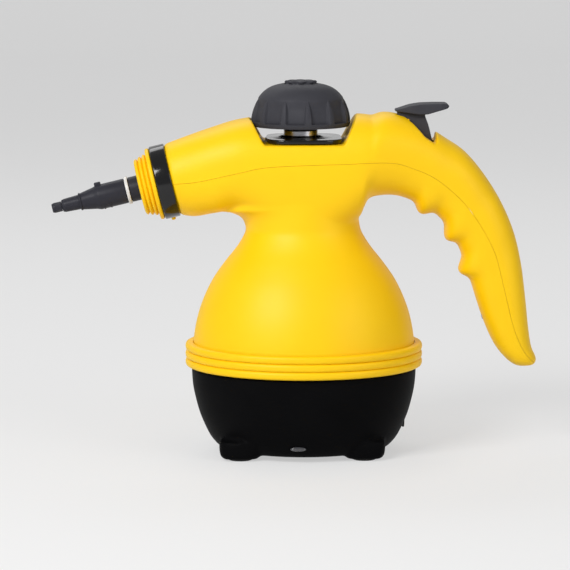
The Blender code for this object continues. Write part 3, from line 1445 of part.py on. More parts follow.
def valve_spring():
    """A coil round the stem, from the valve's top to the plunger's head."""
    low = SPRING_WIRE + FIT
    high = PRESS_Z - FIT - VALVE_TOP - PLUNGER_HEAD_HEIGHT - SPRING_WIRE - FIT
    path = []
    for step in range(SPRING_TURNS * SPRING_POINTS + 1):
        angle = 2 * math.pi * step / SPRING_POINTS
        height = low + (high - low) * step / (SPRING_TURNS * SPRING_POINTS)
        path.append((SPRING_RADIUS * math.cos(angle), SPRING_RADIUS * math.sin(angle), height))
    return swept("spring", path, SPRING_WIRE, SPRING_STEPS)


def curved(points, count):
    """Points along a smooth line through the given ones."""
    last = len(points) - 1
    return [tuple(through(points, last * step / count)) for step in range(count + 1)]


def steam_pipe_in():
    """From the boiler's port up through the waist and back to the valve."""
    _, port_top = port_heights()
    low = port_top - PORT_RADIUS
    rise = VALVE_TOP - VALVE_HEIGHT * VALVE_INLET_SHARE - low
    start = PORT_REACH - AXIS_SETBACK
    run = PRESS_X - VALVE_SIZE / 2 + PIPE_SINK - start
    route = []
    for run_share, side_share, rise_share in PIPE_IN_SHARES:
        side = PORT_SIDE + side_share * (PIPE_SIDE - PORT_SIDE)
        route.append((start + run_share * run, side, low + rise_share * rise))
    return swept("pipe_in", curved(route, PIPE_IN_POINTS), PIPE_RADIUS, bore=PIPE_BORE)


def steam_pipe_out():
    """From the valve round the neck and forward to the outlet."""
    level = VALVE_TOP - VALVE_HEIGHT * VALVE_OUTLET_SHARE
    start = PRESS_X - VALVE_SIZE / 2 + PIPE_SINK
    around = THROAT_PIPE_RADIUS + 2 * PORT_RADIUS
    route = []
    for run_share, side_share in PIPE_OUT_SHARES:
        x = start * run_share - AXIS_SETBACK * (1 - run_share)
        route.append((x, -PIPE_SIDE - side_share * (around - PIPE_SIDE), level))
    tail = -SPIGOT_LENGTH / 2 - 2 * FIT - 2 * OUTLET_FLANGE_LENGTH
    for behind in (2, 1, 0):
        x, z = snout_spot(tail - behind * PIPE_TAIL_PITCH, 0)
        route.append((x, 0, z))
    return swept("pipe_out", curved(route, PIPE_OUT_POINTS), PIPE_RADIUS, bore=PIPE_BORE)


# Screws


def screw(length):
    """A pan-head screw along Z: its seat at 0, its shank below and a round socket in its head."""
    profile = [(0, -length), (SCREW_RADIUS / 2, -length), (SCREW_RADIUS, -length + SCREW_RADIUS)]
    profile += [(SCREW_RADIUS, 0), (SCREW_HEAD_RADIUS, 0), (SCREW_HEAD_RADIUS, SCREW_HEAD_HEIGHT)]
    profile += [(SCREW_RADIUS, SCREW_HEAD_HEIGHT), (SCREW_RADIUS, SCREW_HEAD_HEIGHT / 2)]
    return turned("screw", [*profile, (0, SCREW_HEAD_HEIGHT / 2)], SMALL_STEPS)


def main():
    for thing in list(bpy.data.objects):
        bpy.data.objects.remove(thing)

    yellow = finish("yellow_plastic", (0.90, 0.60, 0.02), 0.42)
    black = finish("black_plastic", (0.010, 0.010, 0.012), 0.45)
    charcoal = finish("charcoal_plastic", (0.050, 0.050, 0.056), 0.50)
    rubber = finish("rubber", (0.015, 0.015, 0.015), 0.75)
    steel = finish("bright_steel", (0.75, 0.75, 0.76), 0.22, 1.0)
    aluminium = finish("boiler_aluminium", (0.62, 0.63, 0.65), 0.40, 1.0)
    brass = finish("brass", (0.70, 0.48, 0.18), 0.30, 1.0)
    copper = finish("copper_pipe", (0.72, 0.36, 0.20), 0.30, 1.0)
    pale = finish("pale_plastic", (0.72, 0.72, 0.70), 0.40)
    clear = finish("lens_plastic", (0.85, 0.85, 0.80), 0.15)

    whole = frame("steam_cleaner", (axis_place(), 0, 0))
    blank = shell_blank()
    piece("body_shell", body_shell(blank), yellow, whole)
    piece("top_cover", top_cover(blank), yellow, whole)
    piece("ribbed_belt", ribbed_belt(), yellow, whole)
    piece("base_shell", base_shell(), black, whole)
    profile = [(0, 0), (PAD_RADIUS, 0), (PAD_RADIUS, PAD_HEIGHT), (0, PAD_HEIGHT)]
    pad = turned("pad", profile, FOOT_STEPS)
    for index, (x, y) in enumerate(foot_spots(), 1):
        piece(f"foot_pad_{index}", pad.copy(), rubber, whole, (x, y, 0))

    seat = BASE_TOP * BASE_SCREW_SEAT_SHARE - FIT
    base_screw = screw(BASE_TOP + BOSS_RISE / 2 - seat)
    base_screw.transform(Matrix.Rotation(math.pi, 4, "X"))
    for index, (x, y) in enumerate(foot_spots(), 1):
        piece(f"base_screw_{index}", base_screw.copy(), steel, whole, (x, y, seat))
    for index, place in enumerate(GRIP_SCREW_PLACES, 1):
        start, end = grip_screw_ends(place)
        ahead = (end - start).normalized()
        node = piece(f"grip_screw_{index}", screw((end - start).length), steel, whole)
        node.rotation_euler = (-ahead).to_track_quat("Z", "X").to_euler()
        node.location = start - ahead * FIT

    snout = frame("snout_axis", (-SNOUT_REACH, 0, SNOUT_HEIGHT), whole, snout_matrix().to_3x3())
    piece("snout_band", snout_band(), black, snout)
    piece("band_peg", band_peg(), yellow, snout)
    piece("front_collar", front_collar(), yellow, snout)
    piece("steam_outlet", steam_outlet(), brass, snout)
    piece("outlet_seal", outlet_seal(), rubber, snout)
    piece("nozzle_body", nozzle_body(), black, snout)
    piece("nozzle_ring", nozzle_ring(), pale, snout)
    piece("nozzle_tip", nozzle_tip(), black, snout)

    boiler = frame("boiler_axis", (-AXIS_SETBACK, 0, 0), whole)
    piece("boiler_tank", boiler_tank(), aluminium, boiler)
    piece("boiler_dome", boiler_dome(), aluminium, boiler)
    piece("filler_neck", filler_neck(), steel, boiler)
    piece("tank_gasket", tank_gasket(), rubber, boiler)
    piece("heating_element", heating_element(), steel, boiler)
    piece("thermostat", thermostat(), steel, boiler)
    piece("thermal_fuse", thermal_fuse(), pale, boiler)
    piece("terminal_block", terminal_block(), pale, boiler)
    piece("heater_lead_1", heater_lead(-1), rubber, boiler)
    piece("heater_lead_2", heater_lead(1), rubber, boiler)
    sideways = Matrix.Rotation(math.pi / 2, 3, "Y")
    inlet = frame("inlet_axis", (inlet_face(), 0, INLET_HEIGHT), whole, sideways)
    piece("cord_inlet", cord_inlet(), rubber, inlet)
    piece("indicator_lens", lens_tool(), clear, whole)

    piece("saddle_bezel", saddle_bezel(), black, boiler)
    cap_axis = frame("cap_axis", (0, 0, CAP_BOTTOM), boiler)
    piece("cap_knob", cap_knob(), charcoal, cap_axis)
    piece("cap_disc", cap_disc(), charcoal, cap_axis)
    piece("cap_plug", cap_plug(), steel, cap_axis)
    piece("cap_washer", cap_washer(), rubber, cap_axis)

    piece("trigger", trigger(), charcoal, whole, (PIN_X, 0, PIN_Z))
    piece("trigger_pin", pin_tool("pin", PIN_RADIUS, PIN_LENGTH / 2), steel, whole)
    valve = frame("valve_axis", (PRESS_X, 0, VALVE_TOP), whole)
    piece("valve_body", valve_body(), brass, valve)
    piece("valve_plunger", valve_plunger(), steel, valve)
    piece("valve_spring", valve_spring(), steel, valve)
    piece("steam_pipe_in", steam_pipe_in(), copper, whole)
    piece("steam_pipe_out", steam_pipe_out(), copper, whole)


main()
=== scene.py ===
# %% [markdown]
# # A handheld steam cleaner, dressed on its measured frame
#
# The frame already holds every piece as a plain measured solid, each on the joint that moves it.
# This lesson gives the pieces their real surfaces: a moulded yellow shell with soft fillets, a
# fluted charcoal cap, a scalloped belt, bright and brass metal, and a pale studio round them.
# Everything is in metres. Most pieces are drawn about the upright axis of the bottle, and each is
# shifted to that axis's place in the frame when it is done. The boiler, its neck, the cap and the
# feet have an axis of their own, two millimetres in front of the bottle's.

import math

import bmesh
import bpy
import numpy as np
from mathutils import Matrix, Vector


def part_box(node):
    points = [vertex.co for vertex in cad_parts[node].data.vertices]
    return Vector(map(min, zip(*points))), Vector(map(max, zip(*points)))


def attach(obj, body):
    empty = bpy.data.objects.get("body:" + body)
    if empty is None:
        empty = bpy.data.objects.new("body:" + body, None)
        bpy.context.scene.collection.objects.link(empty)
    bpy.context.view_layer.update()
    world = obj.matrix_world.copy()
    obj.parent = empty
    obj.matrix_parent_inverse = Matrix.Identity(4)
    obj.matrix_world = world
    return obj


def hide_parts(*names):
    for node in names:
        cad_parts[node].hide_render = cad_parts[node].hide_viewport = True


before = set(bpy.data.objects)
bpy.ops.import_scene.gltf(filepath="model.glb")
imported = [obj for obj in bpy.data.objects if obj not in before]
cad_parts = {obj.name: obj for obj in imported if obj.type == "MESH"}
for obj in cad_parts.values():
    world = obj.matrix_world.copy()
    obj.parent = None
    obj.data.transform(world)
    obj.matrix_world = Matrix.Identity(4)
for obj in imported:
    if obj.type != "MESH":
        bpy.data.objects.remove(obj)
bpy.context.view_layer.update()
print("nodes in the frame:", len(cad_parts))

# %% [markdown]
# ## Sizes
#
# The outlines were drawn as shares of a few measured sizes, so the same shares can be sampled more
# finely here. First come the sizes of the whole, then the gap that every pair of pieces keeps.

# %% Sizes of the whole
BODY_TOP = 0.2120  # floor to the top of the rear hump
SNOUT_REACH = 0.0860  # bottle's axis to the middle of the snout's band
GRIP_REACH = 0.1450  # bottle's axis to the heel of the grip
BODY_HALF_DEPTH = 0.0325
BELT_RADIUS, BELT_HEIGHT = 0.0735, 0.0145
BASE_TOP = 0.0535
OVAL_SHARE = 0.925  # depth over width of the oval bottle, belt and base
SNOUT_DROP = math.radians(13.5)
SNOUT_HEIGHT = BODY_TOP * 0.7934
SHELL_RADIUS = BELT_RADIUS - 0.0049
BASE_RADIUS = BELT_RADIUS - 0.0039
SADDLE_FLOOR = BODY_TOP * 0.9085
CAP_RADIUS, CAP_HEIGHT = 0.0307, 0.0265
WALL = 0.0025
FIT = 0.0003  # gap between touching pieces
PAST = 0.0050  # how far a cutter passes what it cuts


def middle_x(node):
    low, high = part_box(node)
    return (low.x + high.x) / 2


SHELL_X, AXIS_X = middle_x("ribbed_belt"), middle_x("filler_neck")
SETBACK = SHELL_X - AXIS_X
print("axes of the bottle and the cap:", round(1000 * SHELL_X, 2), "and", round(1000 * AXIS_X, 2), "mm")

# %% [markdown]
# ## Mesh helpers
#
# Most pieces of an appliance are turned, lofted through sections or drawn out from a side view.
# Three short builders cover these, and each returns a closed mesh whose faces point outwards.
# Corners are rounded in the outline itself, because a moulded edge is never perfectly sharp.

# %% Points and faces
def circle(steps):
    """The angles of evenly spaced points round a circle."""
    return [2 * math.pi * step / steps for step in range(steps)]


def squared(angle, power):
    """The cosine and sine of an angle, with fuller corners where the power is above 2."""
    return [math.copysign(abs(part) ** (2 / power), part) for part in (math.cos(angle), math.sin(angle))]


def strips(rows, closed=True):
    """The faces between rows of point numbers, a number that repeats taken once in a face."""
    faces = []
    for low, high in zip(rows, rows[1:]):
        for step in range(len(low) if closed else len(low) - 1):
            after = (step + 1) % len(low)
            faces.append(tuple(dict.fromkeys((low[step], low[after], high[after], high[step]))))
    return [face for face in faces if len(face) > 2]


def plain_mesh(name, points, faces):
    mesh = bpy.data.meshes.new(name)
    mesh.from_pydata([tuple(map(float, point)) for point in points], [], faces)
    return mesh


def reworked(mesh, change):
    """The mesh after a change to its points or faces, with its faces turned outwards."""
    work = bmesh.new()
    work.from_mesh(mesh)
    change(work)
    bmesh.ops.recalc_face_normals(work, faces=work.faces)
    work.to_mesh(mesh)
    work.free()
    return mesh


def closed_mesh(name, points, faces):
    """A mesh with doubled points merged and its faces turned outwards."""
    def merge(work):
        bmesh.ops.remove_doubles(work, verts=work.verts, dist=1e-7)
    return reworked(plain_mesh(name, points, faces), merge)

# %% The builders
def lofted(name, rings):
    """A closed body through rings of equal count, each end closed at the middle of its ring."""
    rings = [np.asarray(ring, float) for ring in rings]
    count = len(rings[0])
    points = np.concatenate([*rings, [rings[0].mean(axis=0)], [rings[-1].mean(axis=0)]])
    rows = [range(first, first + count) for first in range(0, len(points) - 2, count)]
    faces = strips(rows)
    for step in range(count):
        after = (step + 1) % count
        faces.append((len(points) - 2, after, step))
        faces.append((len(points) - 1, rows[-1][step], rows[-1][after]))
    return closed_mesh(name, points, faces)


def turned(name, profile, steps=96, squash=1.0):
    """A profile of (radius, height) points turned about Z, closed on itself or ending on the axis."""
    points, rows = [], []
    for radius, height in profile:
        first = len(points)
        if radius == 0:
            rows.append([first] * steps)
            points.append((0, 0, height))
        else:
            rows.append(range(first, first + steps))
            points += [(radius * math.cos(t), radius * math.sin(t) * squash, height) for t in circle(steps)]
    return closed_mesh(name, points, strips([*rows, rows[0]]))


def prism(name, outline, half_depth):
    """An outline of (x, z) points drawn out to both sides of the XZ plane."""
    near, far = range(len(outline)), range(len(outline), 2 * len(outline))
    points = [(x, side * half_depth, z) for side in (-1, 1) for x, z in outline]
    return closed_mesh(name, points, [tuple(near), tuple(far), *strips([near, far])])


def rod(name, start, end, radius, steps=32):
    """A round bar between two points."""
    start, end = Vector(start), Vector(end)
    ahead = (end - start).normalized()
    across = ahead.orthogonal().normalized()
    other = ahead.cross(across)
    rays = [(across * math.cos(turn) + other * math.sin(turn)) * radius for turn in circle(steps)]
    return lofted(name, [[spot + ray for ray in rays] for spot in (start, end)])


def eased(points, radius, steps):
    """A closed outline with each corner rounded to a radius, or to less where its sides are short."""
    spots = [np.asarray(point, float) for point in points]
    rounded = []
    for before, here, after in zip([spots[-1], *spots], spots, [*spots[1:], spots[0]]):
        sides = [before - here, after - here]
        reach = min(radius, *(np.linalg.norm(side) * 0.45 for side in sides))
        start, end = (here + side / np.linalg.norm(side) * reach for side in sides)
        for share in (step / steps for step in range(steps + 1)):
            left = 1 - share
            rounded.append(tuple(left**2 * start + 2 * share * left * here + share**2 * end))
    return rounded


def shift(x, y, z):
    return Matrix.Translation((x, y, z))


def laid(mesh, matrix):
    mesh.transform(matrix)
    return mesh

# %% [markdown]
# A Boolean joins or cuts closed meshes, and a voxel remesh turns the result into one even skin.
# A few rounds of smoothing after it give the inner corners the soft fillets of a moulding, which
# would be hard to bevel by hand where two curved bodies meet.

# %% Booleans and the moulded skin
def linked(name, data):
    """A new object in the scene."""
    thing = bpy.data.objects.new(name, data)
    bpy.context.collection.objects.link(thing)
    return thing


def evaluated(mesh, add_modifiers):
    """The mesh after the modifiers that a function adds to an object of it."""
    carrier = linked(mesh.name, mesh)
    helpers = add_modifiers(carrier) or []
    bpy.context.view_layer.update()
    graph = bpy.context.evaluated_depsgraph_get()
    result = bpy.data.meshes.new_from_object(carrier.evaluated_get(graph))
    result.name = mesh.name
    for thing in [carrier, *helpers]:
        data = thing.data
        bpy.data.objects.remove(thing)
        bpy.data.meshes.remove(data)
    return result


def combined(mesh, tools, operation):
    """The mesh after a Boolean with each tool. The mesh and the tools are used up."""
    def add(carrier):
        helpers = [linked(tool.name, tool) for tool in tools]
        for helper in helpers:
            modifier = carrier.modifiers.new(helper.name, "BOOLEAN")
            modifier.operation, modifier.solver = operation, "MANIFOLD"
            modifier.object = helper
        return helpers
    return evaluated(mesh, add)


def cut(mesh, *tools):
    return combined(mesh, tools, "DIFFERENCE")


def joined(mesh, *tools):
    return combined(mesh, tools, "UNION")


def common(mesh, *tools):
    return combined(mesh, tools, "INTERSECT")


def moulded(mesh, voxel, rounds):
    """One even skin over the mesh, with its corners rounded by smoothing."""
    def add(carrier):
        skin = carrier.modifiers.new("skin", "REMESH")
        skin.mode, skin.voxel_size = "VOXEL", voxel
        soft = carrier.modifiers.new("soft", "SMOOTH")
        soft.factor, soft.iterations = 0.5, rounds
    return evaluated(mesh, add)

# %% [markdown]
# A finished piece is shifted in its mesh to the axis that it was drawn about, so its object keeps to
# the origin. It rides on the body that moves it, stands for the solids that it replaces, and takes
# the material slot that belongs to its finish.


def placed(name, mesh, material, body, *replaced, sharp=35, about=SHELL_X):
    mesh.name = name
    mesh.transform(shift(about, 0, 0))
    mesh.materials.clear()
    mesh.materials.append(material)
    mesh.shade_smooth()
    mesh.set_sharp_from_angle(angle=math.radians(sharp))
    piece = linked(name, mesh)
    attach(piece, body)
    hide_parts(*replaced)
    print(name, len(mesh.polygons), "faces")

# %% [markdown]
# ## Finishes
#
# No moulded or machined surface is one flat colour. Each finish here starts from the same small
# recipe: a wide soft noise drifts the colour a little, a finer one varies the gloss, and a grain
# that only bends the surface normal gives the mould's texture. All three read Object coordinates in
# metres, so the grain has its real scale on every piece and stays put when a piece moves.

# %% A recipe for a surface
def feed(node, sockets):
    """Gives each socket its value, or a link from each output that is given for it."""
    for key, value in sockets.items():
        sources = value if isinstance(value, list) else [value]
        if isinstance(sources[0], bpy.types.NodeSocket):
            for source in sources:
                node.id_data.links.new(source, node.inputs[key])
        else:
            node.inputs[key].default_value = value


def add_node(tree, kind, sockets, **settings):
    """The outputs of a new node, once its settings and its sockets are given."""
    node = tree.nodes.new(kind)
    for key, value in settings.items():
        setattr(node, key, value)
    feed(node, sockets)
    return node.outputs


def linear(colour):
    """A colour picked as 0 to 255 on screen, as the opaque linear light that a shader reads."""
    parts = [
        (value / 255 / 12.92) if value <= 10 else ((value / 255 + 0.055) / 1.055) ** 2.4
        for value in colour
    ]
    return (*parts, 1)


def finish(name, dark, light, gloss, grain, drift=60.0, bump=0.0, metallic=0.0, coat=0.0,
           stretch=None, shine=0.5):
    """A material whose colour drifts from dark to light and whose roughness spans the gloss pair.

    The grain is the fine noise's scale, the drift the wide one's, both per metre. A stretch of three
    factors draws the fine noise out, as brushing or turning does. The shine is how much of the room
    the surface mirrors: a mould's grain keeps it low.
    """
    material = bpy.data.materials.new(name)
    material.use_nodes = True
    tree = material.node_tree
    place = add_node(tree, "ShaderNodeTexCoord", {})["Object"]
    sockets = {"Vector": place, "Scale": drift, "Detail": 3}
    wide = add_node(tree, "ShaderNodeTexNoise", sockets, name="colour drift")["Fac"]
    sockets = {"Factor": wide, "A": linear(dark), "B": linear(light)}
    colour = add_node(tree, "ShaderNodeMix", sockets, data_type="RGBA", name="colour")["Result"]
    if stretch:
        place = add_node(tree, "ShaderNodeMapping", {"Vector": place, "Scale": stretch})["Vector"]
    sockets = {"Vector": place, "Scale": grain, "Detail": 2}
    fine = add_node(tree, "ShaderNodeTexNoise", sockets, name="grain")["Fac"]
    sockets = {"Value": fine, "From Min": 0.3, "From Max": 0.7, "To Min": gloss[0], "To Max": gloss[1]}
    rough = add_node(tree, "ShaderNodeMapRange", sockets, name="gloss")["Result"]
    surface = {"Base Color": colour, "Roughness": rough, "Metallic": metallic, "Coat Weight": coat,
               "Coat Roughness": 0.08, "Specular IOR Level": shine}
    if bump:
        sockets = {"Height": fine, "Strength": 1.0, "Distance": bump}
        surface["Normal"] = add_node(tree, "ShaderNodeBump", sockets)["Normal"]
    feed(tree.nodes["Principled BSDF"], surface)
    material.diffuse_color = linear(light)
    return material

# %% The plastics
shell_yellow = finish("shell_yellow", (247, 196, 2), (251, 204, 6), (0.42, 0.52), 2600,
                      drift=25, bump=0.000014, shine=0.26)
base_black = finish("base_black", (8, 8, 9), (14, 14, 15), (0.46, 0.58), 3000,
                    drift=40, bump=0.00003, shine=0.02)
gloss_black = finish("gloss_black", (12, 12, 13), (18, 18, 19), (0.1, 0.16), 1500,
                     drift=50, coat=0.3, shine=0.3)
cap_charcoal = finish("cap_charcoal", (54, 54, 59), (66, 66, 71), (0.44, 0.56), 3200,
                      drift=60, bump=0.00006, shine=0.08)
nozzle_charcoal = finish("nozzle_charcoal", (42, 42, 48), (52, 52, 59), (0.34, 0.46), 3000,
                         drift=80, bump=0.00003, shine=0.12)
ring_pale = finish("ring_pale", (206, 205, 204), (224, 223, 221), (0.3, 0.4), 2200,
                   drift=90, bump=0.00001)
pad_rubber = finish("pad_rubber", (20, 20, 20), (34, 33, 32), (0.7, 0.88), 4200,
                    drift=160, bump=0.00006)
lens_smoke = finish("lens_smoke", (52, 52, 55), (74, 74, 78), (0.08, 0.14), 900, drift=200, coat=0.6)
print("plastics:", [m.name for m in (shell_yellow, base_black, gloss_black, cap_charcoal)])

# %% [markdown]
# The metals differ in how they were worked. The neck was polished and the boiler spun as they
# turned, so their grain noise is squeezed along the upright axis and drawn out round it, which
# leaves fine rings. Brass and copper keep an even grain.

# %% The metals
neck_bright = finish("neck_bright", (182, 182, 187), (208, 208, 213), (0.22, 0.34), 700,
                     drift=120, bump=0.00002, metallic=1.0, stretch=(0.2, 0.2, 6.0))
boiler_spun = finish("boiler_spun", (172, 174, 178), (196, 198, 202), (0.26, 0.42), 600,
                     drift=30, bump=0.00003, metallic=1.0, stretch=(0.15, 0.15, 5.0))
fitting_brass = finish("fitting_brass", (190, 146, 70), (214, 172, 92), (0.22, 0.34), 1400,
                       drift=150, bump=0.00002, metallic=1.0)
pipe_copper = finish("pipe_copper", (176, 96, 62), (206, 122, 84), (0.2, 0.36), 1200,
                     drift=120, bump=0.00002, metallic=1.0)
print("metals:", [m.name for m in (neck_bright, boiler_spun, fitting_brass, pipe_copper)])

# %% [markdown]
# ## The yellow shell
#
# The body is one flowing form: an arch that runs from the snout over the saddle and down the grip,
# standing on an oval bottle. On the real object it is moulded in two halves that meet on a line
# along each side. It could be sculpted or subdivided from a cage, but its side view is known
# closely, so it is lofted instead: each row below is one section, and a smooth curve runs through
# them. The mould's soft inner corners come from the remesh that follows.

# %% The outlines of the arch and the bottle
# A row gives the outer x and z, the inner x and z and the half depth of a section. An x is a share
# of SNOUT_REACH where it is negative and of GRIP_REACH where it isn't, a z a share of BODY_TOP.
ARCH_SHARES = (
    (-0.860, 0.923, -0.779, 0.692, 0.754), (-0.674, 0.949, -0.628, 0.703, 0.862),
    (-0.442, 0.976, -0.442, 0.708, 0.954), (-0.083, 0.991, -0.097, 0.613, 1.000),
    (0.097, 0.993, 0.083, 0.613, 1.000), (0.248, 0.989, 0.224, 0.684, 0.972),
    (0.290, 0.9855, 0.252, 0.717, 0.948), (0.335, 0.9945, 0.276, 0.745, 0.923),
    (0.400, 0.989, 0.338, 0.754, 0.862), (0.497, 0.964, 0.403, 0.751, 0.785),
    (0.603, 0.919, 0.476, 0.732, 0.708), (0.685, 0.880, 0.545, 0.707, 0.646),
    (0.766, 0.815, 0.603, 0.667, 0.600), (0.841, 0.733, 0.652, 0.613, 0.563),
    (0.897, 0.643, 0.685, 0.557, 0.538), (0.930, 0.547, 0.713, 0.500, 0.523),
    (0.950, 0.440, 0.741, 0.439, 0.523), (0.961, 0.368, 0.775, 0.373, 0.517),
    (0.975, 0.307, 0.820, 0.309, 0.492), (0.997, 0.271, 0.872, 0.267, 0.431),
    (0.989, 0.253, 0.910, 0.250, 0.292),
)
# Height, front and rear half width, half depth, and the section's tilt up to the rear.
BOTTLE_SHARES = (
    (0.387, 0.969, 0.969, 0.896, 0.0), (0.445, 0.913, 0.913, 0.845, 0.0),
    (0.505, 0.825, 0.825, 0.763, 0.0), (0.557, 0.714, 0.714, 0.661, 0.0),
    (0.604, 0.599, 0.599, 0.554, 0.0), (0.646, 0.528, 0.520, 0.487, 0.0),
    (0.670, 0.531, 0.499, 0.476, 0.02), (0.696, 0.560, 0.488, 0.473, 0.05),
    (0.715, 0.612, 0.510, 0.471, 0.09), (0.729, 0.678, 0.576, 0.470, 0.11),
    (0.740, 0.758, 0.671, 0.468, 0.115), (0.778, 0.641, 0.583, 0.465, 0.10),
    (0.821, 0.496, 0.466, 0.455, 0.0),
)
print("sections:", len(ARCH_SHARES), "in the arch,", len(BOTTLE_SHARES), "in the bottle")

# %% Curves through the outlines
def spot(x_share, z_share):
    """A point of the side view, from its shares of the body's reach and height."""
    return Vector((x_share * (SNOUT_REACH if x_share < 0 else GRIP_REACH), z_share * BODY_TOP))


def snout_spot(along, aside):
    """A point of the side view, from its place on the snout's axis and beside it."""
    ahead = Vector((-math.cos(SNOUT_DROP), -math.sin(SNOUT_DROP)))
    above = Vector((-math.sin(SNOUT_DROP), math.cos(SNOUT_DROP)))
    return Vector((-SNOUT_REACH, SNOUT_HEIGHT)) + ahead * along + above * aside


def through(rows, place):
    """A smooth curve through rows of numbers, at a place counted in rows."""
    rows = np.asarray(rows, float)
    place = min(max(place, 0.0), len(rows) - 1.0)
    low = min(int(place), len(rows) - 2)
    share = place - low
    before, start = rows[max(low - 1, 0)], rows[low]
    end, after = rows[low + 1], rows[min(low + 2, len(rows) - 1)]
    leave, arrive = (end - before) / 2, (after - start) / 2
    cube, square = share**3, share**2
    return (
        start * (2 * cube - 3 * square + 1)
        + leave * (cube - 2 * square + share)
        + end * (3 * square - 2 * cube)
        + arrive * (cube - square)
    )


def sampled(rows, count):
    """Evenly spread points of the smooth curve through rows."""
    return [tuple(through(rows, place)) for place in np.linspace(0, len(rows) - 1, count)]

# %% [markdown]
# Three finger ridges stand on the inner side of the grip. Each is a short swell whose height falls
# off to both sides, measured along the grip's own inner edge, so they sit evenly round its bend.

# %% The arch with its finger ridges
SNOUT_RADIUS, THROAT_RADIUS, THROAT_LENGTH = 0.02235, 0.0200, 0.0030
BAND_RADIUS, BAND_HALF = 0.0230, 0.00475
COLLAR_BACK = BAND_HALF + FIT
RIDGE_HEIGHT, RIDGE_HALF_WIDTH, RIDGE_PITCH, RIDGE_START = 0.0055, 0.0085, 0.0238, 0.0172
ARCH_ROWS = np.array([
    (*snout_spot(-COLLAR_BACK, SNOUT_RADIUS), *snout_spot(-COLLAR_BACK, -SNOUT_RADIUS), SNOUT_RADIUS),
    *((*spot(*row[0:2]), *spot(*row[2:4]), row[4] * BODY_HALF_DEPTH) for row in ARCH_SHARES),
])
FIRST_GRIP_ROW, LAST_ROW = 10, len(ARCH_ROWS) - 1
# How far the places along the grip lie along its inner side.
GRIP_PLACES = np.linspace(FIRST_GRIP_ROW, LAST_ROW, 30 * (LAST_ROW - FIRST_GRIP_ROW))
grip_line = np.array([through(ARCH_ROWS, place)[2:4] for place in GRIP_PLACES])
GRIP_LENGTHS = np.concatenate([[0], np.cumsum(np.linalg.norm(np.diff(grip_line, axis=0), axis=1))])


def ridge_rise(place):
    length = float(np.interp(place, GRIP_PLACES, GRIP_LENGTHS))
    away = [abs(length - RIDGE_START - ridge * RIDGE_PITCH) / RIDGE_HALF_WIDTH for ridge in range(3)]
    return RIDGE_HEIGHT * sum((1 + math.cos(math.pi * min(1.0, share))) / 2 for share in away)


def boxy_ring(top, bottom, half_depth, power, steps):
    """A ring between two points of the side view: round at power 2, with fuller corners above it."""
    ring = []
    for up, side in (squared(angle, power) for angle in circle(steps)):
        here = (top + bottom) / 2 + (top - bottom) / 2 * up
        ring.append((here[0], side * half_depth, here[1]))
    return ring


def arch_body(name, per_row, steps, inset=0.0, last=0):
    """The arch as a closed bar, or the hollow in it where an inset is given."""
    rings = []
    if not inset:
        for along in (THROAT_LENGTH, -COLLAR_BACK):
            ends = [np.array(snout_spot(along, side * THROAT_RADIUS)) for side in (1, -1)]
            rings.append(boxy_ring(*ends, THROAT_RADIUS, 2, steps))
    count = LAST_ROW - last
    for place in np.linspace(1 if inset else 0, count, per_row * count + 1):
        row = through(ARCH_ROWS, place)
        outer, inner = row[0:2], row[2:4]
        out = (outer - inner) / np.linalg.norm(outer - inner)
        if place >= FIRST_GRIP_ROW and not inset:
            inner = inner - out * ridge_rise(place)
        power = 2 + 0.5 * min(1.0, place / 2)
        rings.append(boxy_ring(outer - out * inset, inner + out * inset, row[4] - inset, power, steps))
    return lofted(name, rings)


arch = arch_body("arch", 8, 72)
print("arch:", len(arch.vertices), "points")

# %% The bottle, and both joined
def bottle_body(name, steps, inset=0.0, per_row=1):
    """The oval bottle from the skirt inside the belt up to the inside of the arch."""
    skirt = BASE_TOP + 0.0025 - (PAST if inset else 0)
    straight = (SHELL_RADIUS, SHELL_RADIUS, SHELL_RADIUS * OVAL_SHARE, 0)
    rows = [(skirt, *straight), (BASE_TOP + FIT + BELT_HEIGHT, *straight)]
    for height, *shares, tilt in BOTTLE_SHARES:
        rows.append((height * BODY_TOP, *(share * SHELL_RADIUS for share in shares), tilt))
    rings = []
    for place in np.linspace(0, len(rows) - 1, per_row * (len(rows) - 1) + 1):
        if place > 1:
            height, front, rear, depth, tilt = through(rows, place)
        else:
            height, front, rear, depth, tilt = (skirt + place * (rows[1][0] - skirt), *straight)
        ring = []
        for angle in circle(steps):
            x = math.cos(angle) * ((rear if math.cos(angle) > 0 else front) - inset)
            ring.append((x, math.sin(angle) * (depth - inset), height + tilt * x))
        rings.append(ring)
    return lofted(name, rings)


SKIN_VOXEL = 0.0011
blank = moulded(joined(arch, bottle_body("bottle", 112, per_row=4)), SKIN_VOXEL, 5)
print("joined skin:", len(blank.vertices), "points")

# %% [markdown]
# The saddle under the cap and the scoop under the trigger are cut out of the joined form from the
# side, and the cap keeps a round clearance in the saddle's walls. A second, finer skin with hardly
# any smoothing gives the new edges the small radius that a moulded edge has, and keeps them crisp.

# %% The saddle and the scoop, cut and softened
SADDLE_HALF_WIDTH = 0.0250
SADDLE_SHARES = ((-1.46, 1.010), (-1.00, 0.9085), (0.95, 0.9085), (1.42, 1.020))
SCOOP_SHARES = (
    (0.384, 1.012), (0.388, 0.996), (0.427, 0.983), (0.464, 0.962), (0.490, 0.943),
    (0.512, 0.925), (0.558, 0.9038), (0.5605, 0.937), (0.5625, 1.012),
)


def offset_outline(outline, distance):
    """An open outline moved to its right-hand side."""
    spots = [Vector(point) for point in outline]
    moved = []
    for index, here in enumerate(spots):
        ahead = (spots[min(index + 1, len(spots) - 1)] - spots[max(index - 1, 0)]).normalized()
        moved.append(tuple(here + Vector((ahead.y, -ahead.x)) * distance))
    return moved


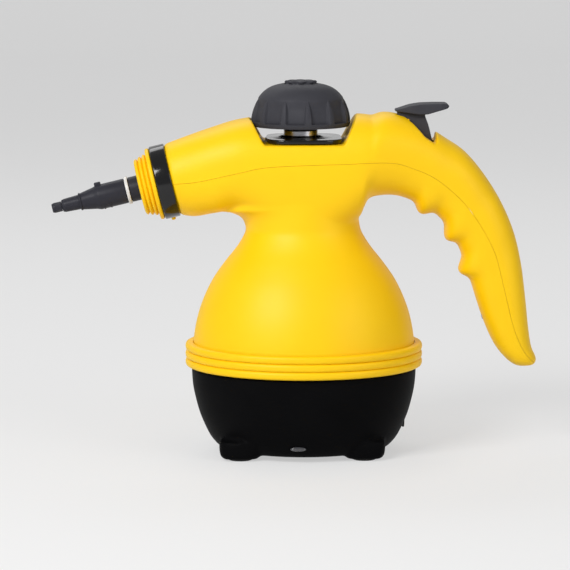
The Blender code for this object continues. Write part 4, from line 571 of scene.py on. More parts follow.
def side_cut(name, outline, deeper=0.0):
    """A cut right across the body, from an outline that runs along its lower side."""
    lower, top = offset_outline(outline, deeper), BODY_TOP + PAST + WALL
    return prism(name, [*lower, (lower[-1][0], top), (lower[0][0], top)], BODY_HALF_DEPTH + PAST)


def cap_clearance(wider=0.0):
    low = (-SETBACK, 0, SADDLE_FLOOR + 0.0018 + 2 * FIT - wider)
    return rod("cap_clearance", low, (-SETBACK, 0, BODY_TOP + PAST), CAP_RADIUS + 0.0010 + wider, 96)


saddle_line = [(x * SADDLE_HALF_WIDTH, z * BODY_TOP) for x, z in SADDLE_SHARES]
scoop_line = [tuple(spot(x, z)) for x, z in SCOOP_SHARES]
blank = cut(blank, side_cut("saddle", saddle_line), side_cut("scoop", scoop_line), cap_clearance())
EDGE_VOXEL = 0.00096
blank = moulded(blank, EDGE_VOXEL, 2)
print("moulded skin:", len(blank.polygons), "faces")

# %% [markdown]
# The form is hollow with a wall of a few millimetres, as a moulding is. The hollow is made from the
# same rows, drawn in by the wall and sampled more coarsely, because nobody sees it. Then the two
# halves are parted along the joint line of the side view, with a fine gap that reads as the seam.

# %% Hollow, bores and slot
SNOUT = shift(-SNOUT_REACH, 0, SNOUT_HEIGHT) @ Matrix((
    (-math.sin(SNOUT_DROP), 0, -math.cos(SNOUT_DROP)),
    (0, 1, 0),
    (math.cos(SNOUT_DROP), 0, -math.sin(SNOUT_DROP)),
)).to_4x4()
SCREW_RADIUS, HEAD_RADIUS, HEAD_HEIGHT = 0.0016, 0.0030, 0.0020
GRIP_SCREWS = (12.6, 17.6)  # places along the arch, counted in its rows


def grip_screw_line(place):
    """Where a grip screw's head is seated, where its point ends, and the way from one to the other."""
    row = through(ARCH_ROWS, place)
    inner, outer = Vector((row[2], 0, row[3])), Vector((row[0], 0, row[1]))
    seat = inner + (outer - inner).normalized() * (HEAD_HEIGHT + FIT)
    end = inner + (outer - inner) * 0.78
    return seat, end, (end - seat).normalized()


hollow = joined(arch_body("arch_hollow", 1, 24, WALL, 2), bottle_body("bottle_hollow", 48, WALL))
kept = [side_cut("saddle_floor", saddle_line, WALL), side_cut("scoop_floor", scoop_line, WALL)]
tools = []
for place in GRIP_SCREWS:
    seat, end, ahead = grip_screw_line(place)
    kept.append(rod("grip_boss", seat - ahead * 0.006, end + ahead * 0.012, 0.0040))
    tools.append(rod("head_hole", seat - ahead * 0.012, seat, HEAD_RADIUS + FIT, 40))
    tools.append(rod("shank_hole", seat - ahead * FIT, end + ahead * FIT, SCREW_RADIUS + FIT, 24))
hollow = cut(hollow, *kept, cap_clearance(WALL))
ends = [(0, 0, -COLLAR_BACK - WALL - PAST), (0, 0, THROAT_LENGTH + PAST)]
tools.append(laid(rod("throat_bore", *ends, THROAT_RADIUS - WALL, 64), SNOUT))
blank = cut(blank, hollow, *tools)
print("hollowed:", len(blank.polygons), "faces")

# %% The joint line
SEAM = 0.00016
PARTING_SHARES = (
    (-0.780, 0.802), (-0.500, 0.828), (-0.250, 0.848), (0.155, 0.856), (0.357, 0.858),
    (0.464, 0.838), (0.562, 0.805), (0.668, 0.742), (0.742, 0.675), (0.808, 0.590),
    (0.848, 0.488), (0.889, 0.375), (0.930, 0.307), (0.971, 0.271), (1.040, 0.226),
)


def upper_region(name, lower=0.0):
    """Everything above the joint line, or that far below it as well."""
    line = [tuple(snout_spot(THROAT_LENGTH + PAST, 0)), tuple(snout_spot(0, 0))]
    line += [tuple(spot(x, z)) for x, z in PARTING_SHARES]
    line = offset_outline(sampled(line, 6 * (len(line) - 1) + 1), lower)
    far, near, top = line[-1][0] + PAST, line[0][0] - PAST, BODY_TOP + 2 * PAST
    return prism(name, [*line, (far, line[-1][1]), (far, top), (near, top), (near, line[0][1])], 0.05)

# %% The upper half
PIN_X, PIN_Z, PIN_RADIUS = GRIP_REACH * 0.417, BODY_TOP * 0.9575, 0.0015
TRIGGER_LENGTH, WEB_HALF = 0.0340, 0.0050


def box_mesh(name, low, high):
    outline = [(low[0], low[2]), (high[0], low[2]), (high[0], high[2]), (low[0], high[2])]
    box = prism(name, outline, (high[1] - low[1]) / 2)
    return laid(box, shift(0, (high[1] + low[1]) / 2, 0))


def shell_cover():
    """The upper half, with the pin's lugs, the trigger's slot and the hole round the filler neck."""
    cover = common(blank.copy(), upper_region("upper"))
    lugs = [box_mesh("lug", (PIN_X - 0.0040, low, PIN_Z - 0.0040), (PIN_X + 0.0040, high, PIN_Z + 0.0040))
            for low, high in ((0.0058, 0.0088), (-0.0088, -0.0058))]
    half = WEB_HALF + 0.0008
    low = (PIN_X - 0.110 * TRIGGER_LENGTH, -half, PIN_Z - 0.44 * TRIGGER_LENGTH - 0.008)
    slot = box_mesh("slot", low, (PIN_X + 0.580 * TRIGGER_LENGTH, half, BODY_TOP + PAST))
    ends = [(-SETBACK, 0, height) for height in (SADDLE_FLOOR - PAST, SADDLE_FLOOR + 2 * WALL)]
    pin = rod("pin_hole", (PIN_X, -0.0103, PIN_Z), (PIN_X, 0.0103, PIN_Z), PIN_RADIUS + FIT)
    return cut(joined(cover, *lugs), slot, rod("neck_hole", *ends, 0.0130, 64), pin)


placed("shell_cover", shell_cover(), shell_yellow, "housing", "top_cover")

# %% The lower half
PEG_RADIUS = 0.0013
FOOT_REACH, FOOT_ANGLE = 0.0517, math.radians(42.65)
FOOT_SPOT = (FOOT_REACH * math.cos(FOOT_ANGLE), FOOT_REACH * math.sin(FOOT_ANGLE))
FOUR_FEET = [(x * FOOT_SPOT[0] - SETBACK, y * FOOT_SPOT[1]) for x in (-1, 1) for y in (-1, 1)]
POST_RADIUS = 0.0042
BOSS_TOP = BASE_TOP + 0.0160


def foot_rods(*kinds):
    """Upright rods at each foot, from rows of name, lower and upper end, radius and steps."""
    return [rod(name, (x, y, low), (x, y, high), radius, steps)
            for x, y in FOUR_FEET for name, low, high, radius, steps in kinds]


def screw_bosses():
    """Columns inside the skirt that take the base's screws, each with a rib to the wall."""
    bosses = []
    for x, y in FOUR_FEET:
        bosses.append(rod("boss", (x, y, BASE_TOP - WALL), (x, y, BOSS_TOP), POST_RADIUS))
        beyond = (SHELL_RADIUS - WALL / 2) / math.hypot(x, y / OVAL_SHARE) - 1
        high = (math.hypot(x, y) * beyond, WALL / 2, BOSS_TOP)
        rib = box_mesh("rib", (0, -WALL / 2, BASE_TOP + 0.0083), high)
        bosses.append(laid(rib, shift(x, y, 0) @ Matrix.Rotation(math.atan2(y, x), 4, "Z")))
    return bosses


def shell_body():
    """The lower half: the underside of the snout, the bottle and the inner side of the grip."""
    ends = [(-THROAT_RADIUS + WALL + PAST, 0, 0), (-BAND_RADIUS - PAST, 0, 0)]
    peg = laid(rod("peg_hole", *ends, PEG_RADIUS + FIT, 24), SNOUT)
    body = cut(blank.copy(), upper_region("upper", SEAM), peg)
    holes = foot_rods(("hole", BASE_TOP - PAST, BOSS_TOP - WALL, SCREW_RADIUS + FIT, 24))
    return cut(joined(body, *screw_bosses()), *holes)


placed("shell_body", shell_body(), shell_yellow, "housing", "body_shell")

# %% [markdown]
# ## Trees for what repeats
#
# Screws, pads, ribs, flutes and threads repeat by a rule, so Geometry Nodes place them. Each tree
# takes one finished mesh and a few named sizes, and ends by realising its instances and setting the
# material, because a model that leaves Blender can't hold instances. The result is turned into a
# plain mesh at once, so no modifier stays behind.

# %% Making and growing a tree
def new_tree(name, inputs):
    """A tree with a mesh in, the named inputs and a mesh out, and the outputs of its first node."""
    tree = bpy.data.node_groups.new(name, "GeometryNodeTree")
    for label, kind in {"Mesh": "Geometry", **inputs, "Finish": "Material"}.items():
        tree.interface.new_socket(label, in_out="INPUT", socket_type=f"NodeSocket{kind}")
    tree.interface.new_socket("Mesh", in_out="OUTPUT", socket_type="NodeSocketGeometry")
    return tree, add_node(tree, "NodeGroupInput", {})


def close_tree(tree, inputs, geometry, merge=0.0):
    """Realises the instances, merges what touches and sets the material."""
    def passed(kind, output, sockets):
        return add_node(tree, kind, {"Geometry": geometry, **sockets})[output]
    geometry = passed("GeometryNodeRealizeInstances", "Geometry", {})
    if merge:
        geometry = passed("GeometryNodeMergeByDistance", "Geometry", {"Distance": merge})
    geometry = passed("GeometryNodeSetMaterial", "Geometry", {"Material": inputs["Finish"]})
    add_node(tree, "NodeGroupOutput", {"Mesh": geometry})
    return tree


def on_points(tree, inputs, points, merge=0.0, **sockets):
    """Closes a tree with a copy of its mesh on each point."""
    sockets = {"Points": points, "Instance": inputs["Mesh"], **sockets}
    copies = add_node(tree, "GeometryNodeInstanceOnPoints", sockets)["Instances"]
    return close_tree(tree, inputs, copies, merge)


def grown(mesh, tree, material, values):
    """The plain mesh that a tree makes from a mesh, with its inputs set by their identifiers."""
    values = {**values, "Finish": material}

    def add(carrier):
        modifier = carrier.modifiers.new(tree.name, "NODES")
        modifier.node_group = tree
        for item in tree.interface.items_tree:
            if item.in_out == "INPUT" and item.name in values:
                modifier[item.identifier] = values[item.name]
    return evaluated(mesh, add)

# %% Four ways to repeat
def stacking_tree():
    """Copies of one rib, one above the other."""
    tree, inputs = new_tree("stacked_ribs", {"Count": "Int", "Pitch": "Float"})
    step = add_node(tree, "ShaderNodeCombineXYZ", {"Z": inputs["Pitch"]})["Vector"]
    line = add_node(tree, "GeometryNodeMeshLine", {"Count": inputs["Count"], "Offset": step})["Mesh"]
    return on_points(tree, inputs, line, merge=1e-6)


def circling_tree():
    """Copies of one panel round the Z axis, welded edge to edge."""
    tree, inputs = new_tree("panels_round_the_axis", {"Count": "Int", "Start angle": "Float"})
    spots = add_node(tree, "GeometryNodePoints", {"Count": inputs["Count"]})["Points"]
    sockets = {0: 2 * math.pi, 1: inputs["Count"]}
    part = add_node(tree, "ShaderNodeMath", sockets, operation="DIVIDE")["Value"]
    sockets = {0: add_node(tree, "GeometryNodeInputIndex", {})["Index"], 1: part, 2: inputs["Start angle"]}
    turn = add_node(tree, "ShaderNodeMath", sockets, operation="MULTIPLY_ADD")["Value"]
    euler = add_node(tree, "ShaderNodeCombineXYZ", {"Z": turn})["Vector"]
    spin = add_node(tree, "FunctionNodeEulerToRotation", {"Euler": euler})["Rotation"]
    return on_points(tree, inputs, spots, merge=2e-6, Rotation=spin)


def corner_tree():
    """One copy on each corner of a rectangle about the Z axis."""
    tree, inputs = new_tree("on_four_corners", {"Length": "Float", "Width": "Float"})
    sockets = {"Vertices X": 2, "Vertices Y": 2, "Size X": inputs["Length"], "Size Y": inputs["Width"]}
    return on_points(tree, inputs, add_node(tree, "GeometryNodeMeshGrid", sockets)["Mesh"])


def thread_tree():
    """The mesh with a wire wound round it, as the ridge of a thread."""
    tree, inputs = new_tree("wound_thread", dict.fromkeys(("Radius", "Wire", "Height", "Turns"), "Float"))
    sockets = {"Resolution": 28, "Start Radius": inputs["Radius"], "End Radius": inputs["Radius"],
               "Height": inputs["Height"], "Rotations": inputs["Turns"]}
    coil = add_node(tree, "GeometryNodeCurveSpiral", sockets)["Curve"]
    sockets = {"Resolution": 6, "Radius": inputs["Wire"]}
    wire = add_node(tree, "GeometryNodeCurvePrimitiveCircle", sockets)["Curve"]
    sockets = {"Curve": coil, "Profile Curve": wire, "Fill Caps": True}
    ridge = add_node(tree, "GeometryNodeCurveToMesh", sockets)["Mesh"]
    both = add_node(tree, "GeometryNodeJoinGeometry", {"Geometry": [ridge, inputs["Mesh"]]})["Geometry"]
    return close_tree(tree, inputs, both)


stacked, circled, on_corners, threaded = stacking_tree(), circling_tree(), corner_tree(), thread_tree()
print("trees:", [tree.name for tree in (stacked, circled, on_corners, threaded)])

# %% [markdown]
# ## The belt
#
# Three rounded ribs hug the joint between bottle and base. One rib is a short open band with a
# round outside, and the stacking tree puts three of them on each other. What is left open at the top
# and bottom is bridged afterwards, which makes one closed ring without walls inside it.

# %% One rib, stacked three times
BELT_BOTTOM, BELT_RIBS, BELT_RIB_DEPTH = BASE_TOP + FIT, 3, 0.0016
BELT_PITCH, BELT_BORE = BELT_HEIGHT / BELT_RIBS, SHELL_RADIUS + FIT


def belt_rib(steps=144):
    """An open band: its inner wall, and its outer wall rounded to a rib."""
    outside = []
    for share in (step / 10 for step in range(11)):
        swell = (1 - abs(2 * share - 1) ** 2.4) ** 0.5
        outside.append((BELT_RADIUS - BELT_RIB_DEPTH * (1 - swell), BELT_BOTTOM + share * BELT_PITCH))
    points, faces = [], []
    for wall in (outside, [(BELT_BORE, BELT_BOTTOM), (BELT_BORE, BELT_BOTTOM + BELT_PITCH)]):
        rows = []
        for radius, height in wall:
            rows.append(range(len(points), len(points) + steps))
            points += [(radius * math.cos(t), radius * OVAL_SHARE * math.sin(t), height)
                       for t in circle(steps)]
        faces += strips(rows)
    return plain_mesh("belt_rib", points, faces)


def bridge_rims(work):
    """Joins the two open rims at the lowest and at the highest level by a flat ring."""
    heights = [point.co.z for point in work.verts]
    between = (BELT_BORE + BELT_RADIUS - BELT_RIB_DEPTH) / 2
    for level in (min(heights), max(heights)):
        rims = ([], [])
        for point in work.verts:
            if point.is_boundary and abs(point.co.z - level) < 1e-6:
                x, y = point.co.x, point.co.y / OVAL_SHARE
                rims[math.hypot(x, y) > between].append(((math.atan2(y, x) + 0.01) % (2 * math.pi), point))
        inner, outer = ([point for _, point in sorted(rim, key=lambda pair: pair[0])] for rim in rims)
        for step in range(len(inner)):
            work.faces.new((inner[step - 1], inner[step], outer[step], outer[step - 1]))


belt = grown(belt_rib(), stacked, shell_yellow, {"Count": BELT_RIBS, "Pitch": BELT_PITCH})
placed("belt_ribs", reworked(belt, bridge_rims), shell_yellow, "housing", "ribbed_belt", sharp=50)

# %% [markdown]
# ## The base
#
# The dark base is a deep oval pan with four feet moulded on. A turned pan and four rounded blocks are
# joined, given one moulded skin so that the feet grow out of it with soft corners, and only then
# hollowed and drilled, because drilled edges stay crisp on the real piece.

# %% The pan and its feet
# z as a share of BASE_TOP, half width as a share of BASE_RADIUS
BASE_SHARES = (
    (0.056, 0.715), (0.080, 0.765), (0.170, 0.828), (0.270, 0.871), (0.430, 0.924),
    (0.572, 0.957), (0.759, 0.9885), (0.935, 1.0), (1.0, 1.0),
)
FLOOR_TOP = BASE_TOP * 0.056 + 0.0030


def level_ring(x, y, half_x, half_y, height, power, steps):
    """A level ring about (x, y), squarer where the power is above 2."""
    turns = (squared(angle, power) for angle in circle(steps))
    return [(x + along * half_x, y + across * half_y, height) for along, across in turns]


def foot_block(x, y):
    """A rounded block that narrows towards the floor."""
    return lofted("foot", [
        level_ring(x, y, 0.0130 * size, 0.0105 * size, 0.0010 + rise * 0.0110, 2.9, 48)
        for rise, size in ((0.0, 0.80), (0.08, 0.9), (0.25, 0.97), (0.6, 1.0), (1.0, 1.0))
    ])


def oval_body(name, outline, steps=96):
    """An outline of (radius, height) points turned to the base's oval, ending on the axis."""
    return turned(name, outline, steps, OVAL_SHARE)


samples = sampled(BASE_SHARES, 6 * (len(BASE_SHARES) - 1) + 1)
outline = [(share * BASE_RADIUS, height * BASE_TOP) for height, share in samples]
pan = oval_body("pan", [(0, outline[0][1]), *outline, (0, outline[-1][1])], 128)
pan = moulded(joined(pan, *[foot_block(x, y) for x, y in FOUR_FEET]), 0.0013, 5)
print("base skin:", len(pan.polygons), "faces")

# %% Hollow, posts, seat and holes of the base
HEAD_SEAT = BASE_TOP * 0.22
PAD_RADIUS, PAD_TOP = 0.0075, 0.0030
INLET_HEIGHT, INLET_RADIUS, LIP_RADIUS = 0.0190, 0.0038, 0.0050
heights, widths = np.array(BASE_SHARES).T * [[BASE_TOP], [BASE_RADIUS]]
INLET_FACE = float(np.interp(INLET_HEIGHT, heights, widths)) - 0.0014
WINDOW_X, WINDOW_Y, WINDOW_Z = -0.0050, -0.0523, 0.0095


def arc(x, z, wide, high, turns):
    """Points of an ellipse about (x, z), one at each angle."""
    return [(x + wide * math.cos(t), z + high * math.sin(t)) for t in turns]


def hoop(name, inner, outer, low, high, steps, ease=None):
    """A ring of rectangular section, its corners rounded where an ease is given."""
    section = [(inner, low), (outer, low), (outer, high), (inner, high)]
    return turned(name, eased(section, *ease) if ease else section, steps)


def base_pan(pan):
    top, collar = BASE_TOP - WALL, SHELL_RADIUS - WALL - FIT
    inside = [(radius - WALL, height) for radius, height in outline if FLOOR_TOP < height < top]
    inside[0] = (inside[0][0], FLOOR_TOP)
    inside += [(collar - 0.0020, top), (collar - 0.0020, BASE_TOP + 0.0130), (0, BASE_TOP + 0.0130)]
    rim = [(0, top), (collar, top), (collar, BASE_TOP + 0.0080), (0, BASE_TOP + 0.0080)]
    pan = joined(pan, oval_body("rim", rim))
    pan = cut(pan, oval_body("inside", [(0, FLOOR_TOP), *inside]))
    gate = box_mesh("gate", (0, -0.0105, FLOOR_TOP), (0.046, 0.0105, 0.028))
    seat = cut(hoop("seat", 0.0375, 0.0405, 0.0045, 0.0230, 64), gate)
    posts = foot_rods(("post", 0.0035, top - FIT, POST_RADIUS, 32))
    pan = joined(pan, laid(seat, shift(-SETBACK, 0, 0)), *posts)
    holes = foot_rods(
        ("shank_hole", HEAD_SEAT - PAST, BASE_TOP, SCREW_RADIUS + FIT, 24),
        ("head_hole", -PAST, HEAD_SEAT, HEAD_RADIUS + FIT, 40),
        ("pad_hole", -PAST, PAD_TOP + FIT, PAD_RADIUS + FIT, 48),
    )
    for start, radius, steps in ((-0.016, INLET_RADIUS, 40), (-FIT, LIP_RADIUS, 48)):
        ends = [(INLET_FACE + along, 0, INLET_HEIGHT) for along in (start, 0.010)]
        holes.append(rod("inlet_hole", *ends, radius + FIT, steps))
    ring = arc(WINDOW_X, WINDOW_Z, 0.0053, 0.0018, circle(40))
    return cut(pan, *holes, laid(prism("lens_hole", ring, 0.0075), shift(0, WINDOW_Y, 0)))


placed("base_pan", base_pan(pan), base_black, "housing", "base_shell")

# %% [markdown]
# A soft pad sits in each foot and a screw goes up through it. Both are made once and put on the four
# corners by the same tree. The screw's head is domed with a cross recess, and its thread is a thin
# ridge wound round the shank.

# %% Pads and base screws
def foot_pad():
    rows = [(0, 0.0006), (0.0022, 0.0006), (0.0025, 0.0), (0.0036, 0.0), (0.0039, 0.0006), (0.0050, 0.0006),
            (0.0053, 0.0), (0.0066, 0.0), (0.0073, 0.0003), (PAD_RADIUS, 0.0010), (PAD_RADIUS, PAD_TOP)]
    return turned("pad", [*rows, (0, PAD_TOP)], 48)


def wound(mesh, start, **coil):
    """A mesh with a thread wound round it from a height upwards."""
    up = shift(0, 0, start)
    return laid(grown(laid(mesh, up.inverted()), threaded, neck_bright, coil), up)


def pan_head_screw(length):
    """A screw along Z with its seat at 0 and its shank below."""
    core = SCREW_RADIUS * 0.85
    rows = [(0, -length), (SCREW_RADIUS * 0.5, -length), (core, -length + SCREW_RADIUS), (core, -0.002)]
    rows += [(SCREW_RADIUS, 0), (HEAD_RADIUS, 0), (HEAD_RADIUS, 0.0009)]
    rows += arc(0, 0.0009, HEAD_RADIUS, 0.0011, np.linspace(0.25, 1.3, 6))
    body = turned("screw", [*rows, (0, HEAD_HEIGHT)], 32)
    arms = [box_mesh("arm", (-a, -b, 0.0007), (a, b, 0.0040))
            for a, b in ((0.0017, 0.00035), (0.00035, 0.0017))]
    height = length - 0.006
    coil = {"Radius": core, "Wire": 0.00022, "Height": height, "Turns": height / 0.0011}
    return wound(cut(body, joined(*arms)), -length + 0.0012, **coil)


def placed_on_feet(name, mesh, material, node):
    spread = {"Length": 2 * FOOT_SPOT[0], "Width": 2 * FOOT_SPOT[1]}
    nodes = [f"{node}_{number}" for number in (1, 2, 3, 4)]
    placed(name, grown(mesh, on_corners, material, spread), material, "housing", *nodes, about=AXIS_X)


base_screw = pan_head_screw(BASE_TOP + 0.0080 - (HEAD_SEAT - FIT))
base_screw.transform(shift(0, 0, HEAD_SEAT - FIT) @ Matrix.Rotation(math.pi, 4, "X"))
placed_on_feet("base_screws", base_screw, neck_bright, "base_screw")
placed_on_feet("foot_pads", foot_pad(), pad_rubber, "foot_pad")

# %% The two grip screws
for number, place in enumerate(GRIP_SCREWS, 1):
    seat, end, ahead = grip_screw_line(place)
    turn = (-ahead).to_track_quat("Z", "X").to_matrix().to_4x4()
    screw = laid(pan_head_screw((end - seat).length), Matrix.Translation(seat - ahead * FIT) @ turn)
    placed(f"grip_fixing_{number}", screw, neck_bright, "housing", f"grip_screw_{number}")

# %% [markdown]
# The cord would enter through a rubber grommet at the rear of the base. Its lip is rounded and its
# bore stays open. On the near side a small smoky window covers the indicator.

# %% The grommet and the indicator's window
def grommet():
    profile = [(0.0026, -0.0080), (INLET_RADIUS, -0.0080), (INLET_RADIUS, 0),
               (LIP_RADIUS, 0), (LIP_RADIUS, 0.0014), (0.0026, 0.0014)]
    ring = turned("grommet", eased(profile, 0.0005, 3), 48)
    return laid(ring, shift(INLET_FACE, 0, INLET_HEIGHT) @ Matrix.Rotation(math.pi / 2, 4, "Y"))


def indicator_window():
    """A flat oval bar with a crowned face, through the wall of the base."""
    rings = []
    for y, size in ((-0.0548, 0.55), (-0.0546, 0.8), (-0.0541, 0.95), (-0.0534, 1.0), (-0.0498, 1.0)):
        ring = arc(WINDOW_X, WINDOW_Z, 0.0049 * size, 0.00145 * size, circle(40))
        rings.append([(x, y, z) for x, z in ring])
    return lofted("window", rings)


placed("cord_grommet", grommet(), pad_rubber, "housing", "cord_inlet")
placed("indicator_window", indicator_window(), lens_smoke, "housing", "indicator_lens")

# %% [markdown]
# ## The snout: band, peg and collar
#
# A glossy black band clamps the two halves at the snout, and a yellow collar with rounded ribs sits
# in front of it. All of these are turned about the snout's own axis, so they are drawn upright as
# profiles with eased corners, and one matrix lays them on the axis.

# %% The band, its peg and the collar
COLLAR_FACE = COLLAR_BACK + 0.0108


def snout_band():
    inner = THROAT_RADIUS + FIT
    ring = hoop("band", inner, BAND_RADIUS, -BAND_HALF, BAND_HALF, 128, (0.0009, 5))
    hole = rod("peg_hole", (-inner + PAST, 0, 0), (-BAND_RADIUS - PAST, 0, 0), PEG_RADIUS + FIT)
    return laid(cut(ring, hole), SNOUT)


def band_peg():
    """A pin with a domed head, pointing down from the snout."""
    rows = [(0, 0), (PEG_RADIUS, 0), (PEG_RADIUS, 0.0062)]
    rows += arc(0, 0.0062, PEG_RADIUS, 0.0009, (0.3, 0.7, 1.1))
    pin = turned("peg", [*rows, (0, 0.0071)], 32)
    lay = shift(-THROAT_RADIUS + WALL, 0, 0) @ Matrix.Rotation(-math.pi / 2, 4, "Y")
    return laid(laid(pin, lay), SNOUT)


def front_collar():
    """A wide rounded ring, then ribs that step down to the nozzle."""
    bore, tail, wide, face = 0.0080, THROAT_RADIUS - WALL - FIT, SNOUT_RADIUS - 0.0006, COLLAR_FACE
    step = COLLAR_BACK + 0.0028
    rows = [(bore, -0.0040), (tail, -0.0040), (tail, COLLAR_BACK), (wide, COLLAR_BACK)]
    for t in np.linspace(0.4, 2.4, 9):
        rows.append((wide + 0.0006 * math.sin(t), COLLAR_BACK + 0.0013 - 0.0013 * math.cos(t)))
    rows += [(SNOUT_RADIUS - 0.0014, step - 0.0002), (0.0188, step)]
    pitch = (face - step) / 3
    for rib, crest in enumerate((0.0192, 0.0184, 0.0175)):
        low = step + rib * pitch
        for t in np.linspace(0.15, 2.99, 13):
            rows.append((crest - 0.0017 + 0.0017 * math.sin(t) ** 0.7, low + pitch * t / math.pi))
    rows += [(0.0160, face - 0.0001), (0.0154, face), (bore + 0.0006, face), (bore, face - 0.0006)]
    return laid(turned("collar", rows, 128), SNOUT)


placed("snout_clamp", snout_band(), gloss_black, "housing", "snout_band")
placed("clamp_peg", band_peg(), shell_yellow, "housing", "band_peg")
placed("ribbed_collar", front_collar(), shell_yellow, "housing", "front_collar", sharp=50)

# %% [markdown]
# ## The nozzle
#
# The nozzle is a bored barrel that narrows to a spout, with a square lug on top that locks it, a
# small bead ahead of it and a pale ring in its groove. It slides out and turns, so it rides on its
# own body, and the ring on the one that only slides.

# %% The barrel
BARREL_RADIUS, BARREL_END = 0.0077, COLLAR_FACE + 0.0270
GROOVE_RADIUS = BARREL_RADIUS - WALL / 2
RING_LOW, RING_HIGH = COLLAR_FACE + 0.0064, COLLAR_FACE + 0.0084
JET_START, JET_FACE = COLLAR_FACE + 0.0495, COLLAR_FACE + 0.0555
JET_BORE, JET_RADIUS = 0.0014, 0.0031


def bevelled(mesh, width):
    def add(carrier):
        bevel = carrier.modifiers.new("rounded", "BEVEL")
        bevel.width, bevel.segments, bevel.limit_method = width, 3, "ANGLE"
    return evaluated(mesh, add)


def nozzle_barrel():
    radius, core, barrel, end = BARREL_RADIUS, GROOVE_RADIUS, BARREL_END, JET_START - FIT
    low, high = RING_LOW - FIT, RING_HIGH + FIT
    rows = [(0.0040, COLLAR_FACE - 0.0110), (radius, COLLAR_FACE - 0.0110), (radius, low), (core, low)]
    rows += [(core, high), (radius, high), (radius, barrel - 0.0012), (0.0068, barrel + 0.0014)]
    rows += [(0.0052, barrel + 0.0096), (0.0046, barrel + 0.0104), (0.0041, end - 0.0016), (0.0036, end)]
    rows += [(JET_BORE, end), (JET_BORE, COLLAR_FACE + 0.0170), (0.0040, COLLAR_FACE + 0.0130)]
    middle, top = barrel - 0.0020, radius + 0.0016
    lug = box_mesh("lug", (core, -0.0020, middle - 0.0020), (top, 0.0020, middle + 0.0020))
    return joined(turned("barrel", eased(rows, 0.0004, 3), 72), bevelled(lug, 0.0006))


def nozzle_marks():
    """A bead round the spout and two short ridges under the barrel, for the fingers that turn it."""
    turns = circle(12)
    marks = [turned("bead", arc(0.0049, BARREL_END + 0.0105, 0.0006, 0.0007, turns), 48)]
    for along, reach in ((0.0195, 0.9), (0.0235, 0.6)):
        rings = []
        for angle in np.linspace(math.pi - reach, math.pi + reach, 15):
            out = Vector((math.cos(angle), math.sin(angle), 0))
            spot = out * (BARREL_RADIUS - 0.0001) + Vector((0, 0, COLLAR_FACE + along))
            rings.append([spot + out * 0.0005 * math.cos(t) + Vector((0, 0, 0.0005 * math.sin(t)))
                          for t in turns])
        marks.append(lofted("ridge", rings))
    return marks


barrel = laid(joined(nozzle_barrel(), *nozzle_marks()), SNOUT)
placed("nozzle_barrel", barrel, nozzle_charcoal, "nozzle", "nozzle_body")

# %% The ring and the tip
def jet_tip():
    """A six-sided dark jet with a round, chamfered mouth."""
    start, face, half = JET_START, JET_FACE, 0.0028 / math.cos(math.pi / 6)
    rows = [(JET_BORE, start), (JET_RADIUS, start), (JET_RADIUS, face - 0.0012)]
    rows += [(0.0026, face), (0.0019, face), (JET_BORE, face - 0.0007)]
    flats = arc(0, 0, half, half, np.arange(6) * math.pi / 3)
    levels = (start - PAST, face - 0.0016)
    hexagon = lofted("hexagon", [[(x, y, height) for x, y in flats] for height in levels])
    mouth = rod("mouth", (0, 0, face - 0.0018), (0, 0, face + PAST), JET_RADIUS, 48)
    return laid(common(turned("jet", rows, 48), joined(hexagon, mouth)), SNOUT)


flange = hoop("flange", GROOVE_RADIUS + FIT, 0.0086, RING_LOW, RING_HIGH, 96, (0.0004, 4))
placed("nozzle_flange", laid(flange, SNOUT), ring_pale, "nozzle_lock", "nozzle_ring")
placed("nozzle_jet", jet_tip(), nozzle_charcoal, "nozzle", "nozzle_tip")

# %% [markdown]
# ## The bezel and the neck
#
# A glossy black plate lies in the saddle and rises in a cone round the bright filler neck. Plate and
# cone are joined and given one moulded skin, so the light runs over their meeting without a crease.

# %% The bezel
PLATE_LOW, CONE_RISE, NECK_RADIUS = SADDLE_FLOOR + FIT, 0.0013, 0.0105
NECK_TOP, NECK_BORE = SADDLE_FLOOR + 0.0075, 0.0075


def saddle_plate():
    low, top = PLATE_LOW, PLATE_LOW + 0.0028
    peak = top + CONE_RISE
    plate = lofted("plate", [level_ring(SETBACK, 0, 0.0233 * size, 0.0260 * size, height, 4, 96)
                             for height, size in ((low, 1.0), (top - 0.0003, 1.0), (top, 0.99))])
    cone = [(0, low + FIT), (0.0220, low + FIT), (0.0220, top - 0.0002)]
    for out, up in ((0.0080, 0.14), (0.0046, 0.36), (0.0022, 0.70), (0.0012, 1)):
        cone.append((NECK_RADIUS + out, top + CONE_RISE * up))
    skin = moulded(joined(plate, turned("cone", [*cone, (0, peak)])), 0.0004, 3)
    return cut(skin, rod("neck_hole", (0, 0, low - PAST), (0, 0, peak + PAST), NECK_RADIUS + FIT, 96))


placed("bezel", saddle_plate(), gloss_black, "housing", "saddle_bezel", about=AXIS_X)

# %% The filler neck
def filler_tube():
    """A tube with a rolled rim, narrower where the bezel holds it."""
    low, wide, narrow = BODY_TOP * 0.605 + FIT, 0.0140, SADDLE_FLOOR - 2 * WALL - 0.0140
    outside = [(NECK_BORE, low), (wide, low), (wide, narrow), (NECK_RADIUS, narrow + 0.0035)]
    outside += [(NECK_RADIUS, NECK_TOP), (NECK_BORE, NECK_TOP)]
    return turned("tube", eased(outside, 0.0006, 5), 96)


placed("neck_tube", filler_tube(), neck_bright, "housing", "filler_neck", about=AXIS_X)

# %% [markdown]
# ## The cap
#
# The cap is a dome whose skirt is cut by twelve flat panels, and what is left between two panels is a
# slim ridge with a pointed top. One panel with half a ridge on each side repeats, so only a wedge of
# 30 degrees is modelled, and the circling tree welds twelve of them. The wedge's columns follow the
# pointed arch, so the arch is a clean line however close the camera comes.

